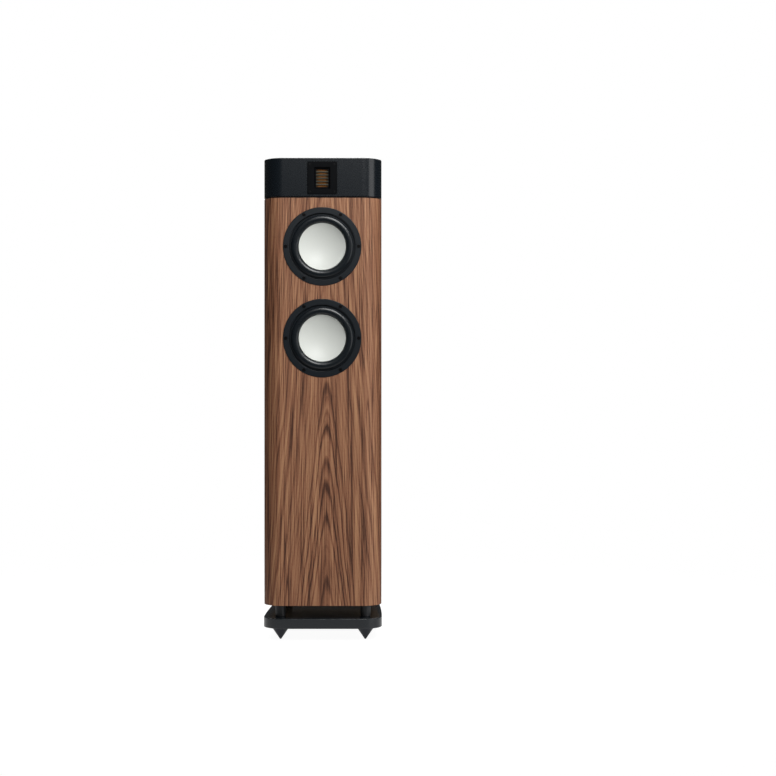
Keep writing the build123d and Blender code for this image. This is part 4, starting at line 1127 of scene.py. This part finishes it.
def rear_panel():
    """Veneered rear panel, with the terminal plate's rebate and the window behind it."""
    low, high = box("rear_panel")
    plate_low, plate_high = box("terminal_plate")
    centre, plate = middle("rear_panel"), middle("terminal_plate")
    size, plate_size = high - low, plate_high - plate_low
    front, back = low.y - cabinet_front, high.y - cabinet_front
    edge, corner = 0.5, 0.6
    rows = []
    for inset, depth in ((0, front), (0, back - edge), (0.3 * edge, back - 0.3 * edge), (edge, back)):
        outline = rectangle(size.x - 2 * inset, size.z - 2 * inset, corner - inset * 0.5, 3)
        rows.append((outline, depth))
    panel = layered("veneered_back", rows, (centre.x, centre.z))
    seam, rebate_corner, end = 0.3, 8.3, cabinet_depth + OVER
    rebate = rectangle(plate_size.x + 2 * seam, plate_size.z + 2 * seam, rebate_corner)
    window = rectangle(90, 60, 8)
    cutters = [
        prism(rebate, (plate_low.y - cabinet_front, end), (plate.x, plate.z)),
        prism(window, (front - OVER, end), (plate.x, plate.z)),
    ]
    cut(panel, cutters)
    return veneered(panel, "rear_panel", flat_from=60)


class SPEAKER_OT_cabinet(bpy.types.Operator):
    """Bend the veneered front and sides, and close them with the rear panel"""

    bl_idname = "speaker.cabinet"
    bl_label = "Cabinet"

    def execute(self, context):
        bent_front(context.scene.speaker_cabinet, context.scene.speaker_driver)
        rear_panel()
        return {"FINISHED"}


class SPEAKER_OT_head(bpy.types.Operator):
    """Lacquered head over the cabinet, with the tweeter's opening"""

    bl_idname = "speaker.head"
    bl_label = "Head"

    def execute(self, context):
        settings = context.scene.speaker_cabinet
        low, high = box("head_shell")
        wall, lower_edge = settings.head_wall / MM, 0.5
        head = slab("black_head", low.z, high.z, 0, lower_edge, settings.head_edge / MM, 6)
        hollow = slab("hollow", low.z - OVER, high.z - wall, wall, 0, 0)
        plate = middle("tweeter_faceplate")
        centre = (plate.x, plate.z)
        plate_low, plate_high = box("tweeter_faceplate")
        size, gap = plate_high - plate_low, 0.4
        opening = rectangle(size.x + 2 * gap, size.z + 2 * gap, 3.4)
        motor = rectangle(45, 51, 0.5)
        recess = prism(opening, (-OVER, plate_high.y - cabinet_front), centre)
        through = prism(motor, (-OVER, wall + OVER), centre)
        cut(head, [hollow, recess, through])
        fit(smooth(head), "cabinet", "black_lacquer", "head_shell")
        return {"FINISHED"}


def screw_head(radius, height, socket, outward):
    """Screw head at the origin with a hexagon socket; outward is -1 to the front, 1 to the back."""
    edge = radius * 0.12
    rows = [
        (circle(radius, 24), -height),
        (circle(radius, 24), -edge),
        (circle(radius - edge * 0.3, 24), -edge * 0.3),
        (circle(radius - edge, 24), 0),
        (hexagon(socket * 1.08), 0),
        (hexagon(socket), -0.15),
        (hexagon(socket), -height * 0.6),
    ]
    loops = [[(p.x, outward * out, p.y) for p in points] for points, out in rows]
    return stack("screw head", loops)


def screws(name, places, head, *replaced):
    """A black steel screw at every place, as one piece on the cabinet."""
    mesh = bpy.data.meshes.new(name)
    mesh.from_pydata([Vector(place) * MM for place in places], [], [])
    piece = new_object(name, mesh)
    tree = bpy.data.node_groups.get("fasteners") or fasteners_tree()
    run_tree(piece, tree, "black_steel", {"Screw": head, "Seed": SCREW_SEED})
    bpy.data.objects.remove(head)
    return fit(smooth(piece), "cabinet", "black_steel", *replaced)


def plate_corners(centre, size, inset):
    """Places (x, z) of the four screws of a plate, set in from its corners."""
    x, z = size.x / 2 - inset, size.z / 2 - inset
    return [(centre.x + side * x, centre.z + rise * z) for side in (-1, 1) for rise in (-1, 1)]


def tweeter_plate():
    """Faceplate with a bevelled window and four countersunk screws."""
    low, high = box("tweeter_faceplate")
    centre, size = middle("tweeter_faceplate"), high - low
    front, back = low.y - cabinet_front, high.y - cabinet_front
    edge, corner = 0.5, 3
    mouth, window = Vector((34, 46)), Vector((28, 40))
    rows = [
        (rectangle(size.x, size.z, corner), back),
        (rectangle(size.x, size.z, corner), front + edge),
        (rectangle(size.x - 0.6 * edge, size.z - 0.6 * edge, corner), front + edge * 0.3),
        (rectangle(size.x - 2 * edge, size.z - 2 * edge, corner - 0.4), front),
        (rectangle(mouth.x + 0.8, mouth.y + 0.8, 2.2), front),
        (rectangle(mouth.x + 0.1, mouth.y + 0.1, 1.8), front + 0.2),
        (rectangle(mouth.x - 0.5, mouth.y - 0.5, 1.5), front + 0.7),
        (rectangle(window.x, window.y, 1.5), back),
    ]
    plate = layered("tweeter_plate", rows, (centre.x, centre.z), "joined")
    corners = plate_corners(centre, size, inset=5.5)
    sink = [(2.95, -2), (2.95, front + 0.1), (1.55, front + 1.5)]
    cut(plate, [drill(sink, corner, 32) for corner in corners])
    fit(smooth(plate), "cabinet", "black_anodised", "tweeter_faceplate")
    places = [(x, low.y + SCREW_SINK, z) for x, z in corners]
    head = screw_head(radius=2.7, height=1.4, socket=1.1, outward=-1)
    screws("tweeter_screw_heads", places, head, "tweeter_screws")


def tweeter_grid(settings):
    """Front pole of the tweeter: a frame, and level bars across its opening."""
    low, high = box("tweeter_front_pole")
    centre, size = middle("tweeter_faceplate"), high - low
    front, back = low.y - cabinet_front, high.y - cabinet_front
    outline, opening = rectangle(size.x, size.z, 0.5), rectangle(26, 38.2, 0.8)
    rows = [(outline, back), (outline, front), (opening, front), (opening, back)]
    pole = layered("tweeter_pole_frame", rows, (centre.x, centre.z), "joined")
    fit(smooth(pole), "cabinet", "black_steel", "tweeter_front_pole")

    bars = new_object("tweeter_bars", bpy.data.meshes.new("tweeter_bars"))
    count, pitch = settings.slat_count, settings.slat_pitch
    lowest = Vector((0, 0, pitch * (count - 1) / 2))
    values = {
        "Count": count,
        "Pitch": pitch,
        "Length": 26.4 * MM,
        "Height": 2.6 * MM,
        "Depth": (size.y - 0.1) * MM,
        "Edge": 0.8 * MM,
        "Place": Vector((centre.x, (low.y + high.y) / 2, centre.z)) * MM - lowest,
    }
    run_tree(bars, slats_tree(), "slat_steel", values)
    fit(smooth(bars), "cabinet", "black_steel")


def tweeter_foil(settings):
    """Pleated foil behind the bars."""
    low, high = box("tweeter_foil")
    centre, size = middle("tweeter_faceplate"), high - low
    thickness = 0.3
    foil = new_object("tweeter_pleats", bpy.data.meshes.new("tweeter_pleats"))
    values = {
        "Pleats": round(size.x * MM / settings.pleat),
        "Width": size.x * MM,
        "Height": size.z * MM,
        "Depth": (size.y - thickness) * MM,
        "Thickness": thickness * MM,
        "Place": Vector((centre.x, (low.y + high.y - thickness) / 2, centre.z)) * MM,
    }
    run_tree(foil, pleats_tree(), "copper_foil", values)
    fit(smooth(foil), "cabinet", "copper_foil", "tweeter_foil")


class SPEAKER_OT_tweeter(bpy.types.Operator):
    """Faceplate with its window, level bars, folded foil and screws"""

    bl_idname = "speaker.tweeter"
    bl_label = "Tweeter"

    def execute(self, context):
        tweeter_plate()
        tweeter_grid(context.scene.speaker_driver)
        tweeter_foil(context.scene.speaker_driver)
        return {"FINISHED"}


def basket(suffix, centre_z, settings):
    """Cast frame of one woofer: flange, spoked wall and foot, with the screws' counterbores."""
    flange, inner = settings.flange / MM, settings.flange_inner / MM
    low, high = box(f"basket_{suffix}")
    front, back = low.y - cabinet_front, high.y - cabinet_front
    flange_back, ledge, groove_floor = front + 5, 2.3, 4.6
    foot, foot_front, shelf, shelf_front = 38, 44.5, 49, 34.5
    seat = 37.5
    # Corners of the section as (radius, depth), each with its rounding
    corners = [
        ((inner, front), 0.5),
        ((flange, front), 0.8),
        ((flange, flange_back), 0.3),
        ((72.6, flange_back), 0.3),
        ((58, seat), 2),
        ((54, back), 1),
        ((foot, back), 0.5),
        ((foot, foot_front), 0.5),
        ((50, foot_front), 1),
        ((54, seat), 1),
        ((shelf, seat), 0.5),
        ((shelf, shelf_front), 0.5),
        ((55, shelf_front), 0.5),
        ((68.6, 6.3), 1),
        ((66.5, 4.3), 0.3),
        ((66.5, ledge), 0.2),
        ((inner - GROOVE, ledge), 0.2),
        ((inner - GROOVE, groove_floor), 0.2),
        ((inner, groove_floor), 0.2),
    ]
    piece = turned(f"woofer_frame_{suffix}", soften(corners, 4), (0, centre_z), 144)
    counterbore = [(4.4, front - 2), (4.4, front + 2.9)]
    between_spokes = [p + Vector((62.6, 0)) for p in rectangle(30, 42, 6)]
    sector = 2 * math.pi / settings.screw_count
    cutters = []
    for step, spot in enumerate(circle(settings.screw_circle / MM, settings.screw_count)):
        cutters.append(drill(counterbore, (spot.x, centre_z + spot.y), 40))
        gap = [rotated(p, sector * (step + 0.5)) for p in between_spokes]
        cutters.append(prism(gap, (9, 31), (0, centre_z)))
    cut(piece, cutters)
    return fit(smooth(piece), "cabinet", "cast_black", f"basket_{suffix}")


def cone(suffix, centre_z, settings):
    """Dished diaphragm with a rounded rim."""
    rim, dish = settings.cone / MM, settings.cone_dish / MM
    rim_depth = box(f"cone_{suffix}")[0].y - cabinet_front
    sphere = (rim**2 + dish**2) / (2 * dish)
    thickness, lip, steps, lip_steps = 1.2, 0.55, 28, 8

    def face(radius):
        """Depth of the dish at a radius."""
        return rim_depth + dish - (sphere - math.sqrt(sphere**2 - radius**2))

    def across(reach):
        """Radii from the middle to a reach."""
        return [reach * step / steps for step in range(steps + 1)]

    front = [(radius, face(radius)) for radius in across(rim - 2 * lip)]
    back = [(radius, face(radius) + thickness) for radius in across(rim)[::-1]]
    roll = []
    for step in range(lip_steps + 1):
        angle = math.radians(-150 + 150 * step / lip_steps)
        roll.append((rim - lip + lip * math.cos(angle), rim_depth + lip + lip * math.sin(angle)))
    piece = turned(f"woofer_cone_{suffix}", front + roll + back, (0, centre_z), 128, "open")
    return fit(smooth(piece), f"cone_{suffix}", "white_cone", f"cone_{suffix}")


def surround(suffix, centre_z, settings):
    """Half roll of rubber between the frame and the moving cone."""
    crest_depth = box(f"surround_{suffix}")[0].y - cabinet_front
    rim_depth = box(f"cone_{suffix}")[0].y - cabinet_front
    inner = settings.cone / MM + 0.1
    outer = settings.flange_inner / MM - GROOVE
    roll_in, roll_out = settings.cone / MM + 1.0, settings.roll_outer / MM
    half, middle_radius = (roll_out - roll_in) / 2, (roll_in + roll_out) / 2
    rise = rim_depth - crest_depth
    thickness, steps, fullness = 0.8, 28, 0.86

    def arch(pull):
        """The roll's section, pulled in by the wall."""
        turns = [math.pi * step / steps for step in range(steps + 1)]
        return [
            (
                middle_radius - (half - pull) * math.cos(turn),
                rim_depth + pull - rise * math.sin(turn) ** fullness,
            )
            for turn in turns
        ]

    front = [(inner, rim_depth)] + arch(0) + [(outer - 0.3, rim_depth), (outer, rim_depth + 0.3)]
    back_depth = rim_depth + thickness
    back = [(outer, back_depth)] + arch(thickness)[::-1] + [(inner, back_depth)]
    piece = turned(f"woofer_roll_{suffix}", front + back, (0, centre_z), 144)
    smooth(piece)
    piece.data.materials.append(finish("surround_rubber"))
    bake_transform(piece)

    place = coordinates(piece.data)
    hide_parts(f"surround_{suffix}")
    return piece


class SPEAKER_OT_woofers(bpy.types.Operator):
    """Frame, cone, rubber roll and screws of each woofer"""

    bl_idname = "speaker.woofers"
    bl_label = "Woofers"

    def execute(self, context):
        settings = context.scene.speaker_driver
        head_front = box("woofer_screws")[0].y
        places = []
        for suffix in WOOFERS:
            centre_z = middle(f"cone_{suffix}").z
            basket(suffix, centre_z, settings)
            cone(suffix, centre_z, settings)
            surround(suffix, centre_z, settings)
            spots = circle(settings.screw_circle / MM, settings.screw_count)
            places += [(spot.x, head_front, centre_z + spot.y) for spot in spots]
        head = screw_head(radius=4, height=2.6, socket=2, outward=-1)
        screws("woofer_screw_heads", places, head, "woofer_screws")
        return {"FINISHED"}


class SPEAKER_OT_port(bpy.types.Operator):
    """Port tube with its flared mouth under the cabinet"""

    bl_idname = "speaker.port"
    bl_label = "Port"

    def execute(self, context):
        low, high = box("port_tube")
        centre = middle("port_tube")
        flange = (high.x - low.x) / 2
        bore, wall = 35.0, 3.0
        flange_top = low.z + 3.5
        corners = [
            ((bore, low.z), 3.0),
            ((flange, low.z), 0.6),
            ((flange, flange_top), 0.3),
            ((bore + wall, flange_top), 0.5),
            ((bore + wall, high.z), 0.8),
            ((bore, high.z), 0.8),
        ]
        tube = turned("port", soften(corners, 6), (centre.x, centre.y), place=level)
        fit(smooth(tube), "cabinet", "port_plastic", "port_tube")
        return {"FINISHED"}


def stand_post(suffix):
    """Post under the cabinet: a wide sleeve over a slim foot, bored for its bolt."""
    low, high = box("stand_posts")
    spot = middle(f"spike_{suffix}")
    bore, foot, sleeve = 4.1, 8, 11
    step = low.z + 7
    corners = [
        ((bore, low.z), 0.2),
        ((foot, low.z), 0.5),
        ((foot, step), 0),
        ((sleeve, step), 0.8),
        ((sleeve, high.z), 0.8),
        ((bore, high.z), 0.2),
    ]
    post = turned(f"post_{suffix}", soften(corners), (spot.x, spot.y), 64, place=level)
    replaced = once("stand_posts", suffix, SPIKES)
    return fit(smooth(post), "cabinet", "black_coated_metal", *replaced)


class SPEAKER_OT_plinth(bpy.types.Operator):
    """Lacquered plinth and the four posts that hold it off the cabinet"""

    bl_idname = "speaker.plinth"
    bl_label = "Plinth"

    def execute(self, context):
        edge = context.scene.speaker_cabinet.plinth_edge / MM
        low, high = box("plinth")
        overhang = high.x - cabinet_half_width
        plinth = slab("black_plinth", low.z, high.z, -overhang, edge, edge, 6)
        radius, post_depth, insert_depth = 8.1, 7.1, 12
        sockets = []
        spans = ((high.z - post_depth, high.z + OVER), (low.z - OVER, low.z + insert_depth))
        for suffix in SPIKES:
            spot = middle(f"spike_{suffix}")
            for span in spans:
                walls = [(radius, height) for height in span]
                sockets.append(drill(walls, (spot.x, spot.y), place=level))
        cut(plinth, sockets)
        fit(smooth(plinth), "cabinet", "black_lacquer", "plinth")
        for suffix in SPIKES:
            stand_post(suffix)
        return {"FINISHED"}


class SPEAKER_OT_spikes(bpy.types.Operator):
    """The four cone feet on their studs"""

    bl_idname = "speaker.spikes"
    bl_label = "Spikes"

    def execute(self, context):
        tip = context.scene.speaker_foot.spike_tip / MM
        stud, stud_length, rim = 4.0, 11.0, 3.1
        for suffix in SPIKES:
            node = f"spike_{suffix}"
            low, high = box(node)
            spot = middle(node)
            radius = (high.x - low.x) / 2
            shoulder = high.z - stud_length
            corners = [
                ((0, low.z), 0),
                ((tip, low.z), 0.4),
                ((radius, shoulder - rim), 0.8),
                ((radius, shoulder), 0.8),
                ((stud, shoulder), 0.2),
                ((stud, high.z), 0.4),
                ((0, high.z), 0),
            ]
            section = soften(corners, 6)
            spike = turned(f"cone_foot_{suffix}", section, (spot.x, spot.y), 96, "open", level)
            fit(smooth(spike), node, "black_chrome", node)
        return {"FINISHED"}


def terminal_panel():
    """Moulded plate with a hole for each post and four countersunk screws."""
    low, high = box("terminal_plate")
    centre, size = middle("terminal_plate"), high - low
    front, back = low.y - cabinet_front, high.y - cabinet_front
    edge, corner = 0.6, 8
    rows = [
        (rectangle(size.x, size.z, corner), front),
        (rectangle(size.x, size.z, corner), back - edge),
        (rectangle(size.x - 0.6 * edge, size.z - 0.6 * edge, corner - 0.1), back - 0.3 * edge),
        (rectangle(size.x - 2 * edge, size.z - 2 * edge, corner - 0.5), back),
    ]
    plate = layered("terminal_panel", rows, (centre.x, centre.z))
    corners = plate_corners(centre, size, inset=7.5)
    sink = [(3.75, back + 2), (3.75, back - 0.1), (2.05, back - 1.8)]
    holes = [drill(sink, corner, 32) for corner in corners]
    half_pitch, hole = 19.05 / 2, TERMINAL_POST + 0.05
    for x in (centre.x - half_pitch, centre.x + half_pitch):
        holes.append(drill([(hole, front - 2), (hole, back + 2)], (x, centre.z)))
    cut(plate, holes)
    fit(smooth(plate), "cabinet", "port_plastic", "terminal_plate")
    places = [(x, high.y - SCREW_SINK, z) for x, z in corners]
    head = screw_head(radius=3.5, height=1.6, socket=1.4, outward=1)
    screws("terminal_screw_heads", places, head, "plate_screws")


def terminal_post(colour, spot, bore):
    """Plated post, with the plug's socket in its end."""
    low, high = box("terminal_posts")
    start, end = low.y - cabinet_front, high.y - cabinet_front
    socket_end = end - 18
    corners = [
        ((0, start), 0),
        ((TERMINAL_POST, start), 0.4),
        ((TERMINAL_POST, end), 0.4),
        ((bore, end), 0.4),
        ((bore, socket_end), 0.2),
        ((0, socket_end), 0),
    ]
    post = turned(f"terminal_post_{colour}", soften(corners), spot, 64, "open")
    fit(smooth(post), "cabinet", "plated_brass", *once("terminal_posts", colour, KNOBS))


def terminal_collar(colour, spot):
    """Bush that keeps the post off the plate."""
    low, high = box("terminal_bushes")
    front, back = low.y - cabinet_front, high.y - cabinet_front
    bore, radius = TERMINAL_POST + 0.05, 9
    corners = [
        ((bore, front), 0.1),
        ((radius, front), 0.2),
        ((radius, back), 0.6),
        ((bore, back), 0.2),
    ]
    collar = turned(f"terminal_collar_{colour}", soften(corners), spot, 72)
    fit(smooth(collar), "cabinet", "port_plastic", *once("terminal_bushes", colour, KNOBS))


def terminal_knob(colour, spot, settings):
    """Screw knob with grip ribs between its two rims."""
    low, high = box(f"knob_{colour}")
    front, back = low.y - cabinet_front, high.y - cabinet_front
    radius, rib = (high.x - low.x) / 2, settings.rib / MM
    core, bore = radius - rib, TERMINAL_POST + 0.05
    rim, slope, rib_gap = 3, 0.8, 0.5
    corners = [
        ((bore, front), 0.2),
        ((radius, front), 0.6),
        ((radius, front + rim), 0.6),
        ((core, front + rim + slope), 0.3),
        ((core, back - rim - slope), 0.3),
        ((radius, back - rim), 0.6),
        ((radius, back), 0.8),
        ((5.2, back), 0.4),
        ((bore, back - 1), 0.2),
    ]
    knob = turned(f"binding_{colour}", soften(corners), spot)
    values = {
        "Count": settings.rib_count,
        "Radius": core * MM,
        "Rib": rib * MM,
        "Length": (back - front - 2 * (rim + rib_gap)) * MM,
        "Place": Vector((spot[0], (low.y + high.y) / 2, spot[1])) * MM,
    }
    tree = bpy.data.node_groups.get("ribs") or ribs_tree()
    run_tree(knob, tree, f"knob_{colour}", values)
    fit(smooth(knob), f"knob_{colour}", f"knob_{colour}", f"knob_{colour}")


class SPEAKER_OT_terminals(bpy.types.Operator):
    """Terminal plate with its posts, collars, ribbed knobs and screws"""

    bl_idname = "speaker.terminals"
    bl_label = "Terminals"

    def execute(self, context):
        settings = context.scene.speaker_foot
        terminal_panel()
        for colour in KNOBS:
            spot = (middle(f"knob_{colour}").x, middle("terminal_plate").z)
            terminal_post(colour, spot, settings.socket / MM)
            terminal_collar(colour, spot)
            terminal_knob(colour, spot, settings)
        return {"FINISHED"}


class SPEAKER_OT_insides(bpy.types.Operator):
    """Finishes of the pieces that keep their CAD shape"""

    bl_idname = "speaker.insides"
    bl_label = "Insides"

    def execute(self, context):
        for slot, names in CAD_FINISHES.items():
            for name in names:
                mesh = nodes[name].data
                mesh.materials.clear()
                mesh.materials.append(finish(slot))
        return {"FINISHED"}


# Studio


def floor_material(colour):
    """Seamless studio paper: pale under the piece, clear farther out and seen from below."""
    direct_glow, mirrored_glow, bounced_glow = 0.95, 0.5, 0.1
    fade_start, fade_end = 0.35, 1.5
    material, tree, shader = new_material("studio_paper")
    sockets = {
        "Base Color": list(colour),
        "Roughness": 0.9,
        "Specular IOR Level": 0.1,
        "Emission Color": (1, 1, 1, 1),
    }
    set_sockets(shader, sockets)
    path = add_node(tree, "ShaderNodeLightPath")
    glossy = {"Value": path.outputs["Is Glossy Ray"], "To Min": bounced_glow, "To Max": mirrored_glow}
    mirrored = add_node(tree, "ShaderNodeMapRange", glossy)
    seen = {"Value": path.outputs["Is Camera Ray"], "To Min": mirrored, "To Max": direct_glow}
    glow = add_node(tree, "ShaderNodeMapRange", seen)
    tree.links.new(glow.outputs[0], shader.inputs["Emission Strength"])
    place = add_node(tree, "ShaderNodeTexCoord").outputs["Object"]
    distance = add_node(tree, "ShaderNodeVectorMath", [place], operation="LENGTH")
    fade = {"Value": distance.outputs["Value"], "From Min": fade_start, "From Max": fade_end}
    share = add_node(tree, "ShaderNodeMapRange", fade, interpolation_type="SMOOTHSTEP")
    below = add_node(tree, "ShaderNodeNewGeometry").outputs["Backfacing"]
    hidden = add_node(tree, "ShaderNodeMath", [share, below], operation="MAXIMUM")
    clear = add_node(tree, "ShaderNodeBsdfTransparent")
    mixed = add_node(tree, "ShaderNodeMixShader", [hidden, shader, clear])
    output = next(n for n in tree.nodes if n.type == "OUTPUT_MATERIAL")
    tree.links.new(mixed.outputs[0], output.inputs["Surface"])
    return material


def softbox(name, azimuth, elevation, distance, width, height, power):
    """Rectangular light that faces the speaker; azimuth 0 is in front and 90 on its +X side."""
    light = bpy.data.lights.new(name, "AREA")
    light.shape = "RECTANGLE"
    light.size = width
    light.size_y = height
    light.energy = power
    turn, rise = math.radians(azimuth), math.radians(elevation)
    target = Vector((0, cabinet_front * MM, 0.6))
    spoke = Vector(
        (math.sin(turn) * math.cos(rise), -math.cos(turn) * math.cos(rise), math.sin(rise))
    )
    made = new_object(name, light)
    made.location = target + spoke * distance
    made.rotation_euler = (-spoke).to_track_quat("-Z", "Y").to_euler()


class SPEAKER_OT_stage(bpy.types.Operator):
    """Pale floor, softboxes, room light and camera"""

    bl_idname = "speaker.stage"
    bl_label = "Studio"

    def execute(self, context):
        scene = context.scene
        settings = scene.speaker_studio
        shape = bmesh.new()
        bmesh.ops.create_circle(shape, cap_ends=True, radius=2, segments=96)
        mesh = bpy.data.meshes.new("studio_floor")
        shape.to_mesh(mesh)
        shape.free()
        floor = new_object("studio_floor", mesh)
        mesh.materials.append(floor_material(settings.floor_colour))

        # Name, azimuth and elevation in degrees, distance, width and height in metres, power
        softboxes = (
            ("key", 16, 42, 3.0, 1.4, 1.4, settings.key_power),
            ("fill", 8, 34, 3.6, 2.0, 2.0, settings.fill_power),
            ("side", 60, 4, 2.8, 1.6, 2.2, settings.side_power),
            ("accent", 46, 36, 2.8, 0.3, 0.3, settings.accent_power),
            ("back left", 205, 55, 3.2, 3.0, 2.6, settings.back_power),
            ("back right", 155, 55, 3.2, 3.0, 2.6, settings.back_power),
        )
        for name, *place_and_power in softboxes:
            softbox(f"{name} softbox", *place_and_power)

        world = bpy.data.worlds.new("studio")
        scene.world = world
        world.use_nodes = True
        tree = world.node_tree
        tree.nodes.clear()
        room, paper = (
            add_node(tree, "ShaderNodeBackground", {"Color": (1, 1, 1, 1), "Strength": strength})
            for strength in (settings.ambient, 1.0)
        )
        seen = add_node(tree, "ShaderNodeLightPath").outputs["Is Camera Ray"]
        mixed = add_node(tree, "ShaderNodeMixShader", [seen, room, paper])
        add_node(tree, "ShaderNodeOutputWorld", {"Surface": mixed})
        scene.view_settings.view_transform = "Standard"

        camera = bpy.data.cameras.new("camera")
        camera.lens = 71.4
        camera.sensor_width = 36
        distance, side, height = 3.3, 0.1412, 0.5446
        stand = new_object("camera", camera)
        stand.location = (side, cabinet_front * MM - distance, height)
        stand.rotation_euler = (math.pi / 2, 0, 0)
        scene.camera = stand
        return {"FINISHED"}


# Add-on

STEPS = (
    SPEAKER_OT_stage,
    SPEAKER_OT_cabinet,
    SPEAKER_OT_head,
    SPEAKER_OT_tweeter,
    SPEAKER_OT_woofers,
    SPEAKER_OT_port,
    SPEAKER_OT_plinth,
    SPEAKER_OT_spikes,
    SPEAKER_OT_terminals,
    SPEAKER_OT_insides,
)
SETTINGS = {
    "speaker_cabinet": CabinetSettings,
    "speaker_driver": DriverSettings,
    "speaker_foot": FootSettings,
    "speaker_studio": StudioSettings,
}


class SPEAKER_PT_panel(bpy.types.Panel):
    """Settings of the speaker, and a button for each group of pieces"""

    bl_label = "Speaker"
    bl_idname = "SPEAKER_PT_panel"
    bl_space_type = "VIEW_3D"
    bl_region_type = "UI"
    bl_category = "Speaker"

    def draw(self, context):
        for name, group in SETTINGS.items():
            column = self.layout.column()
            for setting in group.__annotations__:
                column.prop(getattr(context.scene, name), setting)
        for step in STEPS:
            self.layout.operator(step.bl_idname)


def register():
    for group in (*SETTINGS.values(), *STEPS, SPEAKER_PT_panel):
        bpy.utils.register_class(group)
    for name, group in SETTINGS.items():
        setattr(bpy.types.Scene, name, PointerProperty(type=group))


def unregister():
    for name in SETTINGS:
        delattr(bpy.types.Scene, name)
    for group in reversed((*SETTINGS.values(), *STEPS, SPEAKER_PT_panel)):
        bpy.utils.unregister_class(group)


def main():
    register()
    for step in STEPS:
        group, name = step.bl_idname.split(".")
        getattr(getattr(bpy.ops, group), name)()


if __name__ == "__main__":
    main()
